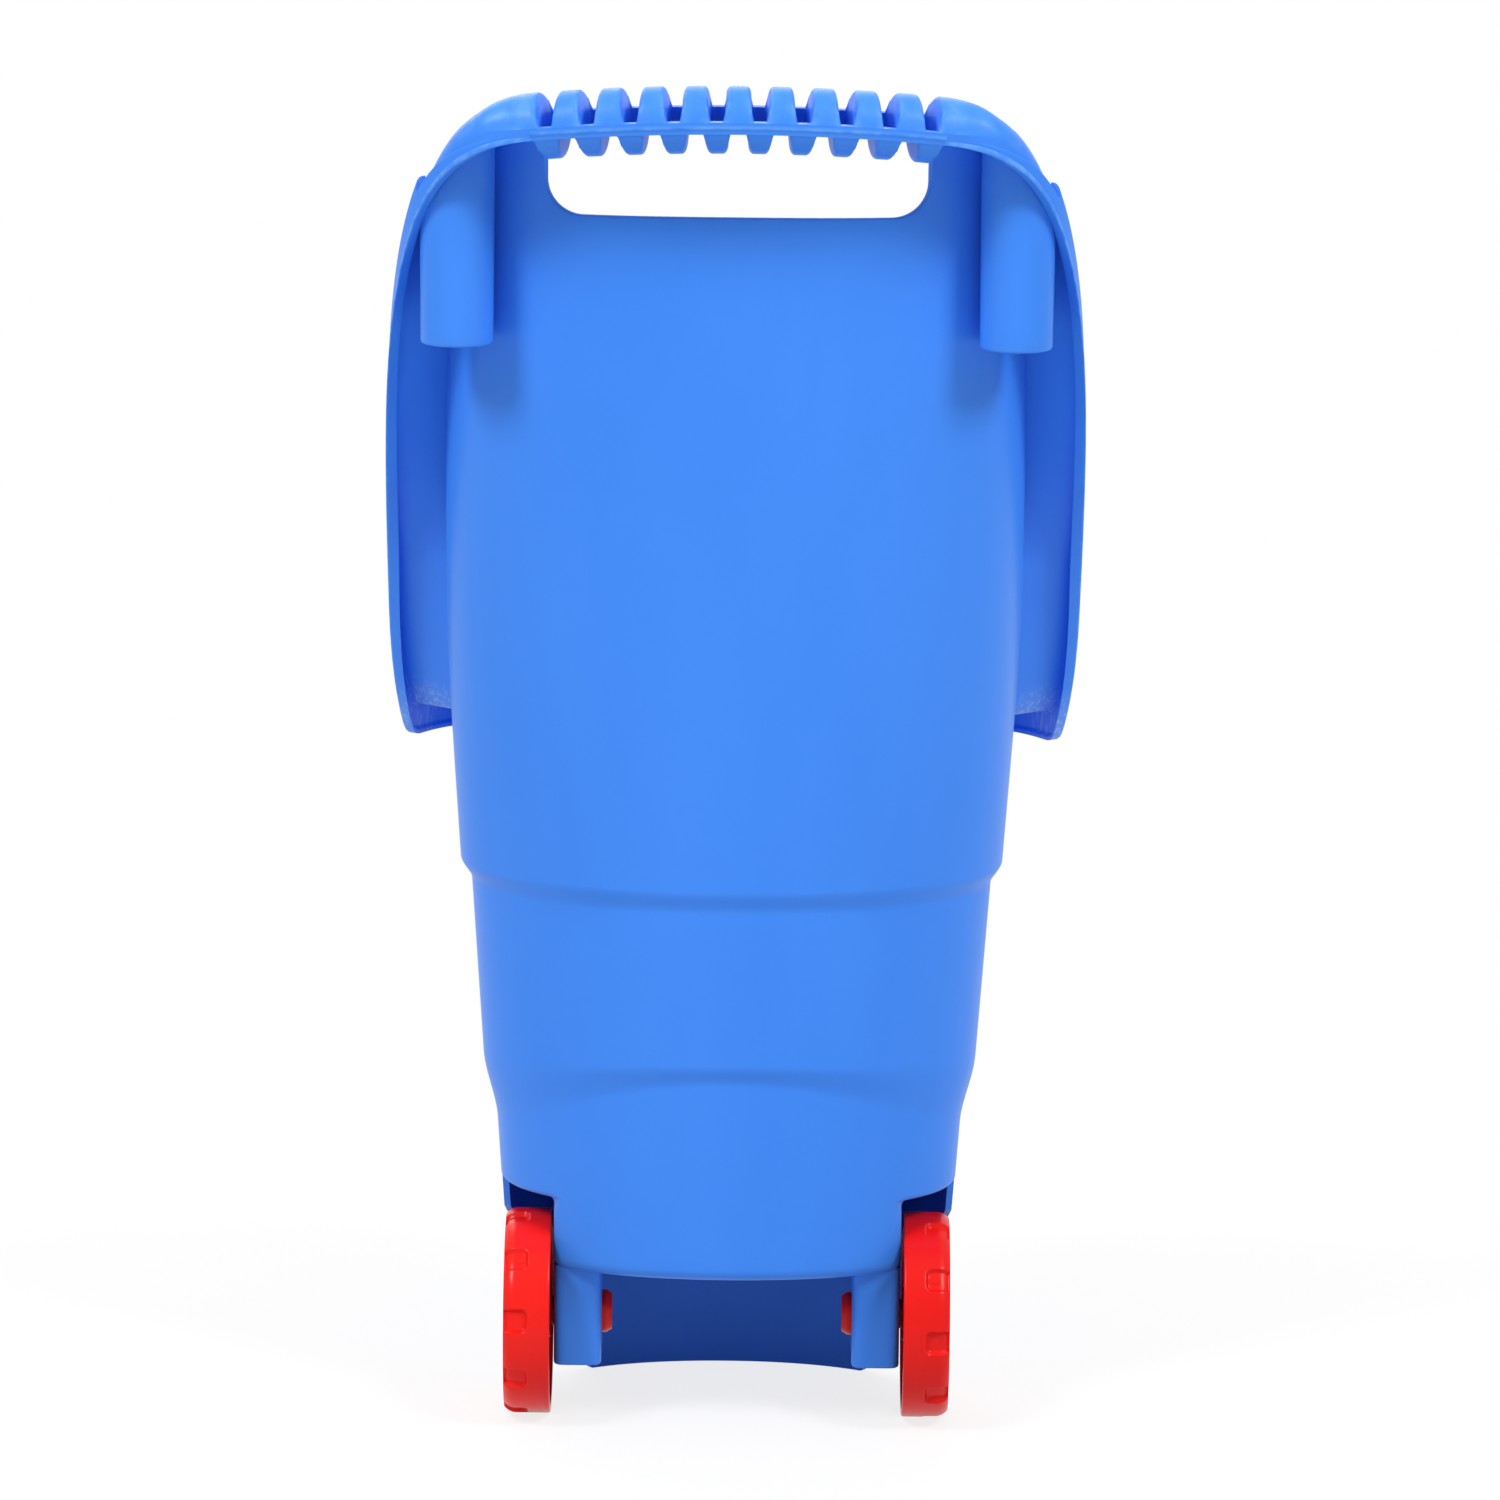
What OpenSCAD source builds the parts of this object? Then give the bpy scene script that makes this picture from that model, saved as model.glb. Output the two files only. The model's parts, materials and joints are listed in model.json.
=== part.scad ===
// Child's two-wheeled trolley: a tall moulded tub with a slanted mouth, a finger-ribbed handle across
// the back, two tool sockets under the rim, a front foot and two wheels on snap-in axle pins.
// Millimetres. X runs across the trolley, +Y points to its front, +Z up, and the ground is Z = 0.
// Sizes along Y are measured from the axle line, and the whole part is then centred on its own depth.

/* [Tub] */
// Thickness of the moulded walls
wall = 2.6; // [2:0.1:4]
// Height of the tub's underside above the ground
floor_z = 65; // [58:0.5:72]
// Width of the narrow bottom between the wheels
sump_w = 142; // [130:1:144]
// Rounding along the rear bottom edge
bottom_round = 5; // [2:0.5:8]
// Height of the roof over the wheels
well_z = 95; // [92:0.5:104]
// Width of the tub just above the wheels
base_w = 187; // [180:1:200]
// Reach of the back wall behind the axle line, just above the wheels
base_back = 40; // [36:0.5:48]
// Reach of the front wall ahead of the axle line, just above the wheels
base_front = 78; // [70:0.5:90]
// Greatest width of the tub, near the mouth
top_w = 235; // [226:1:244]
// Outward draft of the side walls
side_draft = 4; // [3:0.1:5]
// Backward lean of the back wall
back_lean = 2.5; // [1:0.1:4]
// Forward lean of the front wall
front_lean = 4.5; // [3:0.1:6]
// Height of the lower step around the tub
low_step_z = 148; // [140:1:156]
// Height of the upper step around the tub
high_step_z = 221; // [210:1:232]
// Rise of each step
step_rise = 9; // [5:0.5:12]
// Drop of the lower step along the sides
step_drop = 28; // [0:1:32]
// Side overhang of each step
step_side = 4; // [2:0.5:6]
// Overhang of each step at the back and front
step_back = 2.5; // [1:0.5:4]
// Squareness of the plan outline at the bottom, where 2 is an ellipse
bottom_square = 2.1; // [2:0.1:3]
// Squareness of the plan outline at the mouth
top_square = 3; // [2.4:0.1:4]
// Height from which the plan outline has the mouth's squareness
full_square_z = 433; // [400:1:460]

/* [Mouth and rim] */
// Slope of the mouth from horizontal
mouth_slope = 60.6; // [56:0.2:64]
// Height of the rim's lower edge where the mouth crosses the axle line
mouth_mid_z = 394; // [386:1:402]
// Height of the rim's lower edge at the front
edge_front_z = 271; // [262:1:280]
// Height of the rim's lower edge at the handle
edge_back_z = 540; // [534:1:546]
// Softness of the bends at the ends of the slope
mouth_soft = 5; // [2:0.5:8]
// Height of the rim from its lower edge to its top
rim_h = 18; // [14:0.5:24]
// Overall width of the rim
rim_w = 282; // [276:1:296]
// Reach of the rim behind the axle line
rim_back = 97; // [92:0.5:104]
// Reach of the rim ahead of the axle line
rim_front = 120; // [114:0.5:130]
// Squareness of the rim's plan outline
rim_square = 3.2; // [2.6:0.1:4]
// Upright thickness of the rim's top plate
rim_plate = 5.2; // [4:0.2:7]
// Rounding of the rim's outer corner
rim_round = 5; // [3:0.5:8]
// Height of the bead along the rim's lower edge
bead_h = 2.4; // [1.5:0.1:4]
// Projection of the bead
bead_out = 0.9; // [0.4:0.1:1.5]
// Step in from the side rim's line to the handle
shoulder_step = 4; // [2:0.5:6]
// Rounding of the shoulder's outer corner
shoulder_round = 12; // [8:0.5:14]
// Angle around the plan outline where the shoulder steps out to the side rim's line
shoulder_angle = 34; // [30:1:38]
// Angle around the plan outline where the side rim begins, clear of the tool sockets
corner_angle = 25; // [20:1:26]

/* [Handle] */
// Reach of the grip's middle behind the axle line
grip_back = 85; // [80:0.5:90]
// Height of the grip's middle
grip_z = 546.5; // [540:0.5:552]
// Radius of the grip's section
grip_r = 13.2; // [11:0.1:14]
// Half length of the grip along X
grip_half = 78; // [74:1:82]
// Bow of the grip towards the user
grip_bow = 10; // [5:0.5:14]
// Rise of the grip's middle above its ends
grip_rise = 4.5; // [2:0.5:7]
// Backward lean of the grip's parting line
grip_lean = 8; // [0:1:14]
// Number of upper ribs
rib_count = 9; // [5:2:11]
// Distance between ribs
rib_pitch = 16.3; // [14:0.1:17]
// Length of each upper rib along the grip
rib_len = 9.6; // [9:0.1:11]
// Length of each lower lug along the grip
lug_len = 9.6; // [9:0.1:11]
// Rounding at the ends of ribs and lugs
rib_round = 1.2; // [0.8:0.1:2]
// Draft of the end walls of ribs and lugs
rib_draft = 0.3; // [0.2:0.05:0.5]
// Height of the band that joins ribs and lugs
band_h = 4.8; // [3:0.1:7]
// Half width of the hand hole
hole_half = 74; // [70:1:77]
// Height of the hand hole's lower edge
hole_z = 505; // [498:1:512]
// Corner radius of the hand hole
hole_round = 15; // [8:1:20]

/* [Tool sockets] */
// Distance of each socket from the centre plane
socket_x = 110; // [106:0.5:111]
// Reach of the sockets behind the axle line
socket_back = 55; // [52:0.5:57]
// Outer diameter at the rim
socket_top_d = 29.4; // [27:0.2:31]
// Outer diameter at the closed end
socket_end_d = 27.6; // [25:0.2:29]
// Inside diameter
socket_bore_d = 22; // [18:0.5:23]
// Height of the closed end
socket_end_z = 456; // [445:1:470]
// Height of the socket mouth
socket_top_z = 541; // [536:0.5:543]

/* [Foot and posts] */
// Width of the foot on the ground
foot_w = 124; // [100:2:140]
// Height of the cut-outs beside the foot
foot_side_z = 22; // [12:1:36]
// Corner radius of the foot's outline
foot_round = 8; // [4:0.5:11]
// Reach of the apron's ends ahead of the axle line
apron_start = 47; // [45:0.5:55]
// Distance of each axle post from the centre plane
post_x = 61; // [57:0.5:61.5]
// Thickness of each axle post along X
post_w = 17.5; // [14:0.5:18]
// Reach of the posts behind the axle line
post_back = 31; // [26:0.5:33]
// Reach of the posts ahead of the axle line
post_front = 19; // [15:0.5:26]
// Height of the posts' lower end
post_z = 28; // [20:0.5:31]

/* [Wheels] */
// Wheel diameter
wheel_d = 84.4; // [80:0.2:86]
// Wheel width
wheel_w = 19; // [15:0.5:22]
// Running gap between the post and the wheel
wheel_gap = 3.4; // [2:0.2:5]
// Thickness of the tread ring
tread_t = 3.4; // [2.6:0.2:6]
// Rounding of the tread's outer shoulder
tread_round = 3.2; // [1:0.2:3.4]
// Thickness of the wheel disc
disc_t = 3; // [2:0.2:5]
// Setback of the wheel disc from the wheel's outer side
disc_in = 3.5; // [0:0.5:6]
// Number of notches around the tread
notch_count = 10; // [6:1:14]
// Width of each notch along the tread
notch_w = 9.4; // [6:0.2:12]
// Length of each notch across the tread
notch_len = 9.6; // [7:0.2:13]
// Depth of each notch
notch_t = 1.5; // [0.6:0.1:2]
// Number of stiffening ribs behind the disc
spoke_count = 6; // [4:1:8]
// Thickness of each stiffening rib
spoke_t = 2.2; // [1.6:0.1:3]
// Diameter of the wheel hub
hub_d = 22; // [18:0.5:26]

/* [Axle pins] */
// Pin diameter
pin_d = 12; // [9:0.2:13]
// Radial running clearance of the pin in its post
pin_play = 0.08; // [0.02:0.01:0.1]
// Radial clearance of the pin in the wheel hub
hub_play = 0.03; // [0.01:0.01:0.05]
// Diameter of the cap on the pin's outer end
cap_d = 26; // [22:0.5:30]
// Thickness of the cap
cap_t = 2.8; // [2:0.1:3.5]
// Diameter of the snap head on the pin's inner end
snap_d = 17.6; // [15:0.2:19]
// Thickness of the snap head
snap_t = 4.6; // [3:0.2:6]
// Running gap between the snap head and the post
snap_gap = 0.4; // [0.2:0.1:1]
// Width of the slot that lets the snap head flex
snap_slot = 2.6; // [1.6:0.2:4]

/* [Hidden] */
$fn = 64;
// Gap left where two neighbouring pieces of the body meet
seam = 0.15;
// Columns around the tub, steps in each round corner of the rim and in each half of the grip
columns = 72;
column_turn = 360 / columns;
arc_steps = 5;
grip_steps = 8;
// Share of the way from the upper step to the mouth at each row of the tub
mouth_rows = [0.25, 0.5, 0.75, 1];
blue = "#3f86f4";
red = "#f01812";
wheel_r = wheel_d / 2;
axle_z = wheel_r;
post_outer = post_x + post_w / 2;
post_inner = post_x - post_w / 2;
wheel_in = post_outer + wheel_gap;
wheel_out = wheel_in + wheel_w;
grip_sag = norm([grip_bow, grip_rise]);
grip_arc_r = (grip_half * grip_half + grip_sag * grip_sag) / (2 * grip_sag);
grip_plane = atan2(grip_rise, grip_bow);
middle_y = (rim_front - grip_back - grip_r) / 2;

// Smooth versions of max and min, with k as the size of the rounded corner
function soft_max(a, b, k) = max(a, b) + k * ln(1 + exp(-abs(a - b) / k));
function soft_min(a, b, k) = -soft_max(-a, -b, k);
function signed_pow(v, e) = sign(v) * pow(abs(v), e);

// Point at angle t on an oval of half width a between a back and a front reach
function oval(t, a, back, front, square) = [
    a * signed_pow(cos(t), 2 / square),
    (front - back) / 2 + (front + back) / 2 * signed_pow(sin(t), 2 / square)
];

// Half width and reaches of the tub's wall at height z, after a number of steps from 0 to 2
function half_w(z, steps) = soft_min(
    top_w / 2,
    base_w / 2 + (z - well_z) * tan(side_draft) + steps * step_side,
    wall / 2
);
function back_at(z, steps) = base_back + (z - well_z) * tan(back_lean) + steps * step_back;
function front_at(z, steps) = base_front + (z - well_z) * tan(front_lean) + steps * step_back;
function square_at(z) = lookup(z, [[high_step_z, bottom_square], [full_square_z, top_square]]);

// Lower edge of the rim as a function of depth: the mouth's slope between its front and back heights
function edge_z(y) = soft_min(
    edge_back_z,
    soft_max(edge_front_z, mouth_mid_z - y * tan(mouth_slope), mouth_soft),
    mouth_soft
);
function rim_at(t, inset) = oval(t, rim_w / 2 - inset, rim_back, rim_front, rim_square);
function rim_top(t) = edge_z(rim_at(t, 0)[1]) + rim_h;

// Point of the tub's wall at angle t, moved in by inset
function wall_at(t, z, steps, inset) = oval(
    t,
    half_w(z, steps) - inset,
    back_at(z, steps) - inset,
    front_at(z, steps) - inset,
    square_at(z)
);

// One ring of the tub. The height changes from z at the back to z_side at the sides
function ring(z, z_side, steps, inset) = [
    for (i = [0:columns - 1])
        let (t = i * column_turn, h = z + (z_side - z) * cos(t) * cos(t), p = wall_at(t, h, steps, inset))
            [p[0], p[1], h]
];
// One ring of the narrow bottom: the same outline cut off at the sides, and drawn in by trim at the back
function sump_ring(z, inset, trim) = [
    for (i = [0:columns - 1])
        let (
            t = i * column_turn,
            limit = sump_w / 2 - inset - trim,
            back = back_at(z, 0) - inset - trim,
            p = oval(t, half_w(z, 0) - inset, back, front_at(z, 0) - inset, square_at(z))
        )
            [max(-limit, min(limit, p[0])), p[1], z]
];
// One ring between the upper step and the mouth, at a share of the way up
function mouth_ring(share, inset) = [
    for (i = [0:columns - 1])
        let (
            t = i * column_turn,
            foot = high_step_z + step_rise,
            h = foot + (rim_top(t) - foot) * share,
            p = wall_at(t, h, 2, inset)
        )
            [p[0], p[1], h]
];

// Rings from one bottom of the tub's wall to its mouth
function tub_rings(inset) = let (edge = inset == 0 ? bottom_round : 0, curl = 1 - cos(45)) concat(
    [
        sump_ring(floor_z + inset, inset, edge),
        sump_ring(floor_z + inset + bottom_round * curl, inset, edge * curl),
        sump_ring(floor_z + inset + bottom_round, inset, 0),
        sump_ring(well_z + inset - wall / 2, inset, 0),
        ring(well_z + inset, well_z + inset, 0, inset),
        ring(low_step_z, low_step_z - step_drop, 0, inset),
        ring(low_step_z + step_rise, low_step_z, 1, inset),
        ring(high_step_z, high_step_z, 1, inset),
        ring(high_step_z + step_rise, high_step_z + step_rise, 2, inset)
    ],
    [for (share = mouth_rows) mouth_ring(share, inset)]
);

function reversed(list) = [for (i = [len(list) - 1:-1:0]) list[i]];
function middle_of(ring) = [for (p = ring) 1] * ring / len(ring);

// Solid skinned over a list of rings with equal counts, closed by its first and last ring.
// A fan closes each of those rings around its middle, for outlines with straight stretches
module loft(rings, fan = false) {
    count = len(rings[0]);
    last = (len(rings) - 1) * count;
    middles = last + count;
    sides = [
        for (k = [0:len(rings) - 2], i = [0:count - 1])
            let (j = (i + 1) % count, a = k * count)
                each [[a + i, a + count + i, a + count + j], [a + i, a + count + j, a + j]]
    ];
    plain_caps = [[for (i = [0:count - 1]) i], [for (i = [count - 1:-1:0]) last + i]];
    fan_caps = [
        for (i = [0:count - 1])
            let (j = (i + 1) % count)
                each [[middles, i, j], [middles + 1, last + j, last + i]]
    ];
    polyhedron(
        points = concat([for (r = rings) each r], [middle_of(rings[0]), middle_of(rings[len(rings) - 1])]),
        faces = concat(sides, fan ? fan_caps : plain_caps),
        convexity = 10
    );
}

// Outline of the hand hole, carried through the back wall
module hand_hole() {
    top = edge_back_z + rim_h * 2;
    translate([0, -base_back, 0])
        rotate([90, 0, 0])
            linear_extrude(height = rim_back)
                union() {
                    translate([-hole_half, hole_z + hole_round])
                        square([2 * hole_half, top - hole_z - hole_round]);
                    translate([-hole_half + hole_round, hole_z])
                        square([2 * (hole_half - hole_round), hole_round * 2]);
                    for (side = [-1, 1])
                        translate([side * (hole_half - hole_round), hole_z + hole_round])
                            circle(r = hole_round);
                }
}

module tub() {
    color(blue)
        difference() {
            loft(concat(tub_rings(0), reversed(tub_rings(wall))), fan = true);
            hand_hole();
        }
}

// Section of the rim at angle t: a plate from the tub's outer face, a round corner, a skirt and its bead
function rim_section(t, inset, corner) =
    let (
        top = rim_top(t),
        edge = top - rim_h,
        outer = rim_at(t, inset),
        inner = wall_at(t, top, 2, -seam),
        reach = norm(outer - inner),
        dir = (outer - inner) / reach,
        inside = corner - wall,
        bead_at = reach + bead_out,
        profile = concat(
            [[0, top - rim_plate], [0, top]],
            [for (i = [0:arc_steps]) let (a = 90 - 90 * i / arc_steps)
                [reach - corner + corner * cos(a), top - corner + corner * sin(a)]],
            [[reach, edge + bead_h], [bead_at, edge + bead_h], [bead_at, edge], [reach - wall, edge]],
            [for (i = [0:arc_steps]) let (a = 90 * i / arc_steps)
                [reach - corner + inside * cos(a), top - max(corner, rim_plate + inside) + inside * sin(a)]]
        )
    )
    [for (p = profile) [inner[0] + dir[0] * p[0], inner[1] + dir[1] * p[0], p[1]]];

// Angles from a start to an end, with those of the tub's columns between them
function stops_between(start, end) = concat(
    [start],
    [for (i = [-columns:columns]) let (t = i * column_turn) if (t > start + 1 && t < end - 1) t],
    [end]
);

// Column of clear space around the right tool socket
module socket_space() {
    translate([socket_x, -socket_back, 0])
        cylinder(d = socket_top_d + 2 * seam, h = edge_back_z + rim_h * 2);
}

module side_rim() {
    stops = stops_between(-corner_angle, 180 + corner_angle);
    color(blue)
        loft([for (t = stops) rim_section(t, 0, rim_round)]);
}

// Angle around the shoulder's outline at a distance x from the centre plane
function shoulder_angle_at(x) = acos(pow(x / (rim_w / 2 - shoulder_step), rim_square / 2));

// Rear corner of the rim around the tool socket, rounder and stepped in next to the grip that ends against it
module shoulder() {
    start = -shoulder_angle_at(grip_half - grip_r);
    ledge = -shoulder_angle - seam;
    end = -corner_angle - seam;
    reach = 2 * grip_r;
    difference() {
        loft(concat(
            [for (t = stops_between(start, ledge)) rim_section(t, shoulder_step, shoulder_round)],
            [for (t = stops_between(-shoulder_angle, end)) rim_section(t, 0, rim_round)]
        ));
        socket_space();
        on_grip(grip_arc_half + seam)
            translate([-reach, -reach, 0])
                cube(2 * reach);
    }
}

module shoulder_right() {
    color(blue) shoulder();
}

module shoulder_left() {
    color(blue) mirror([1, 0, 0]) shoulder();
}

// Places children, drawn with +X towards the user and +Y up, square across the grip's arc at a distance x
module on_grip(x) {
    translate([0, -grip_back, grip_z])
        rotate([-grip_plane, 0, 0])
            translate([0, grip_arc_r, 0])
                rotate([0, 0, x / grip_arc_r * 180 / PI - 90])
                    translate([grip_arc_r, 0, 0])
                        rotate([90, 0, 0])
                            rotate([0, 0, -grip_plane - grip_lean])
                                children();
}

// The same placing for one point p of a section
function grip_point(x, p) =
    let (
        turn = -grip_plane - grip_lean,
        u = p[0] * cos(turn) - p[1] * sin(turn),
        v = p[0] * sin(turn) + p[1] * cos(turn),
        along = x / grip_arc_r * 180 / PI - 90,
        y = grip_arc_r + (grip_arc_r + u) * sin(along)
    )
    [
        (grip_arc_r + u) * cos(along),
        y * cos(grip_plane) + v * sin(grip_plane) - grip_back,
        -y * sin(grip_plane) + v * cos(grip_plane) + grip_z
    ];

// Places of the ribs, with one more at each end that closes the shoulder, and of the lugs between them
rib_places = [for (i = [0:rib_count + 1]) (i - (rib_count + 1) / 2) * rib_pitch];
lug_places = [for (i = [0:rib_count]) (i - rib_count / 2) * rib_pitch];
grip_arc_half = grip_arc_r * asin(grip_half / grip_arc_r) * PI / 180;

// Share of its full height that a rib or lug has at x: whole in its middle, rounded off at its ends
function cell_share(x, places, length) = lookup(min([for (p = places) abs(x - p)]), [
    [length / 2 - rib_round, 1],
    [length / 2, 1 - rib_round / grip_r],
    [length / 2 + rib_draft, 0]
]);
function cell_stops(places, length) = [
    for (p = places, side = [-1, 1], reach = [length / 2 - rib_round, length / 2, length / 2 + rib_draft])
        p + side * reach
];
function sorted(list) = len(list) < 2 ? list : concat(
    sorted([for (v = list) if (v < list[0]) v]),
    [list[0]],
    sorted([for (v = list) if (v > list[0]) v])
);

// Closed section at x: the upper arc, the bead on the user's side and the lower arc
function grip_section(x) =
    let (
        edge = asin(band_h / 2 / grip_r),
        up = cell_share(x, rib_places, rib_len),
        down = cell_share(x, lug_places, lug_len),
        arc = [for (i = [0:grip_steps]) 180 - edge - (180 - 2 * edge) * i / grip_steps],
        bead_at = grip_r + bead_out
    )
    [
        for (p = concat(
            [for (a = arc) [grip_r * cos(a), band_h / 2 + (grip_r * sin(a) - band_h / 2) * up]],
            [[grip_r, bead_h - band_h / 2], [bead_at, bead_h - band_h / 2], [bead_at, -band_h / 2]],
            [for (a = arc) [-grip_r * cos(a), -band_h / 2 - (grip_r * sin(a) - band_h / 2) * down]]
        )) grip_point(x, p)
    ];

// Corrugated bar: hollow ribs stand above the band and hollow lugs hang below it, in turn
module handle_grip() {
    web = (rib_len + lug_len - rib_pitch) / 2;
    stops = sorted(concat(
        [-grip_arc_half, grip_arc_half],
        cell_stops(rib_places, rib_len),
        cell_stops(lug_places, lug_len)
    ));
    color(blue)
        difference() {
            loft([for (x = stops) if (abs(x) <= grip_arc_half) grip_section(x)]);
            for (x = lug_places)
                on_grip(x)
                    cylinder(r = grip_r - wall, h = lug_len - 2 * web, center = true);
            for (i = [1:rib_count])
                on_grip(rib_places[i])
                    cylinder(r = grip_r - wall, h = rib_len - 2 * web, center = true);
        }
}

// Tapered tube with a flat closed end and a straight bore
module tool_socket(side) {
    translate([side * socket_x, -socket_back, 0])
        difference() {
            translate([0, 0, socket_end_z])
                cylinder(d1 = socket_end_d, d2 = socket_top_d, h = socket_top_z - socket_end_z);
            translate([0, 0, socket_end_z + wall])
                cylinder(d = socket_bore_d, h = socket_top_z - socket_end_z);
        }
}

module tool_socket_left() {
    color(blue) tool_socket(-1);
}

module tool_socket_right() {
    color(blue) tool_socket(1);
}

// Rounded outline that joins two rectangles of different widths, seen from the front
module foot_outline() {
    union() {
        translate([-base_w / 2, foot_side_z])
            square([base_w, well_z - foot_side_z]);
        difference() {
            translate([-foot_w / 2 - foot_round, 0])
                square([foot_w + 2 * foot_round, foot_side_z]);
            for (side = [-1, 1])
                translate([side * (foot_w / 2 + foot_round), foot_side_z - foot_round])
                    circle(r = foot_round);
            for (side = [-1, 1])
                translate([side * (foot_w / 2 + foot_round) - foot_round, -foot_round])
                    square([2 * foot_round, foot_side_z]);
        }
    }
}

// Apron that carries the front wall down to the ground, open at the back
module front_foot() {
    outer = [for (i = [0:columns / 2]) wall_at(i * column_turn, well_z, 0, 0)];
    inner = [for (i = [0:columns / 2]) wall_at(i * column_turn, well_z, 0, wall)];
    color(blue)
        difference() {
            intersection() {
                linear_extrude(height = well_z - wall / 2 - seam)
                    difference() {
                        polygon(concat(outer, reversed(inner)));
                        translate([-base_w, -base_front])
                            square([2 * base_w, base_front + apron_start]);
                    }
                translate([0, 2 * base_front, 0])
                    rotate([90, 0, 0])
                        linear_extrude(height = 2 * base_front)
                            foot_outline();
            }
            translate([-sump_w / 2 - seam, 0, floor_z - seam])
                cube([sump_w + 2 * seam, 2 * base_front, well_z]);
        }
}

// Plan of an axle post: a straight bar with a round back
module post_plan(w) {
    r = w / 2;
    translate([-r, -post_back + post_w / 2])
        square([w, post_front + post_back - post_w + r]);
    translate([0, -post_back + post_w / 2])
        circle(r = r);
}

module axle_post(side) {
    translate([side * post_x, 0, 0])
        difference() {
            translate([0, 0, post_z])
                linear_extrude(height = floor_z - post_z - seam)
                    post_plan(post_w);
            translate([0, 0, post_z - wall])
                linear_extrude(height = floor_z - post_z)
                    post_plan(post_w - 2 * wall);
            translate([-post_w, 0, axle_z])
                rotate([0, 90, 0])
                    cylinder(r = pin_d / 2 + pin_play, h = 2 * post_w);
        }
}

module axle_post_left() {
    color(blue) axle_post(-1);
}

module axle_post_right() {
    color(blue) axle_post(1);
}

// Half section of the wheel: the first coordinate is the radius, the second runs outwards along the axle
module wheel_profile() {
    difference() {
        union() {
            square([wheel_r - tread_round, wheel_w]);
            square([wheel_r, wheel_w - tread_round]);
            translate([wheel_r - tread_round, wheel_w - tread_round])
                circle(r = tread_round);
        }
        translate([hub_d / 2, -disc_t])
            square([wheel_r - tread_t - hub_d / 2, wheel_w - disc_in]);
        translate([cap_d / 2 + seam, wheel_w - disc_in])
            square([wheel_r - tread_t - cap_d / 2 - seam, wheel_w]);
        translate([0, wheel_w - disc_in])
            square([cap_d / 2 + 2 * seam, wheel_w]);
        translate([0, -wheel_w])
            square([pin_d / 2 + hub_play, 3 * wheel_w]);
    }
}

// Plan of one tread notch: open at the wheel's outer side, round at its inner end
module notch_plan() {
    translate([-notch_w / 2, notch_w / 2 - notch_len])
        square([notch_w, notch_len]);
    translate([0, notch_w / 2 - notch_len])
        circle(d = notch_w);
}

// Wheel about +Z, with its outer side at the top
module wheel_shape() {
    spoke_len = wheel_r - tread_t - hub_d / 2 + spoke_t;
    difference() {
        union() {
            rotate_extrude($fn = 180)
                wheel_profile();
            for (i = [0:spoke_count - 1])
                rotate([0, 0, i * 360 / spoke_count])
                    translate([hub_d / 2 - spoke_t / 2, -spoke_t / 2, disc_t])
                        cube([spoke_len, spoke_t, wheel_w - disc_in - disc_t - spoke_t / 2]);
        }
        for (i = [0:notch_count - 1])
            rotate([0, 0, (i + 1 / 2) * 360 / notch_count])
                translate([wheel_r - notch_t, 0, wheel_w])
                    rotate([90, 0, 90])
                        linear_extrude(height = wheel_r)
                            notch_plan();
    }
}

module on_axle(side, x) {
    translate([side * x, 0, axle_z])
        rotate([0, side * 90, 0])
            children();
}

module wheel_left() {
    color(red) on_axle(-1, wheel_in) wheel_shape();
}

module wheel_right() {
    color(red) on_axle(1, wheel_in) wheel_shape();
}

// Pin about +Z from its snap head to its cap, with the head's slot through its inner end
module axle_pin(side) {
    tip = post_inner - snap_gap - snap_t;
    cap_at = wheel_out - disc_in;
    slot_len = snap_t + post_w / 2;
    on_axle(side, tip)
        difference() {
            union() {
                cylinder(d = pin_d, h = cap_at - tip);
                cylinder(d1 = pin_d + (snap_d - pin_d) / 2, d2 = snap_d, h = snap_t / 2);
                translate([0, 0, snap_t / 2])
                    cylinder(d = snap_d, h = snap_t / 2);
                translate([0, 0, cap_at - tip])
                    cylinder(d1 = cap_d, d2 = cap_d - cap_t, h = cap_t);
            }
            translate([-snap_d, -snap_slot / 2, -snap_t])
                cube([2 * snap_d, snap_slot, slot_len + snap_t]);
        }
}

module axle_pin_left() {
    color(red) axle_pin(-1);
}

module axle_pin_right() {
    color(red) axle_pin(1);
}

// Centres the part on its own depth
module placed() {
    translate([0, -middle_y, 0]) children();
}

placed() tub();
placed() side_rim();
placed() shoulder_left();
placed() shoulder_right();
placed() handle_grip();
placed() tool_socket_left();
placed() tool_socket_right();
placed() front_foot();
placed() axle_post_left();
placed() axle_post_right();
placed() wheel_left();
placed() wheel_right();
placed() axle_pin_left();
placed() axle_pin_right();
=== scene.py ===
"""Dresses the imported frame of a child's two-wheeled moulded trolley and sets a plain studio round it."""
import json
import math

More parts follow.
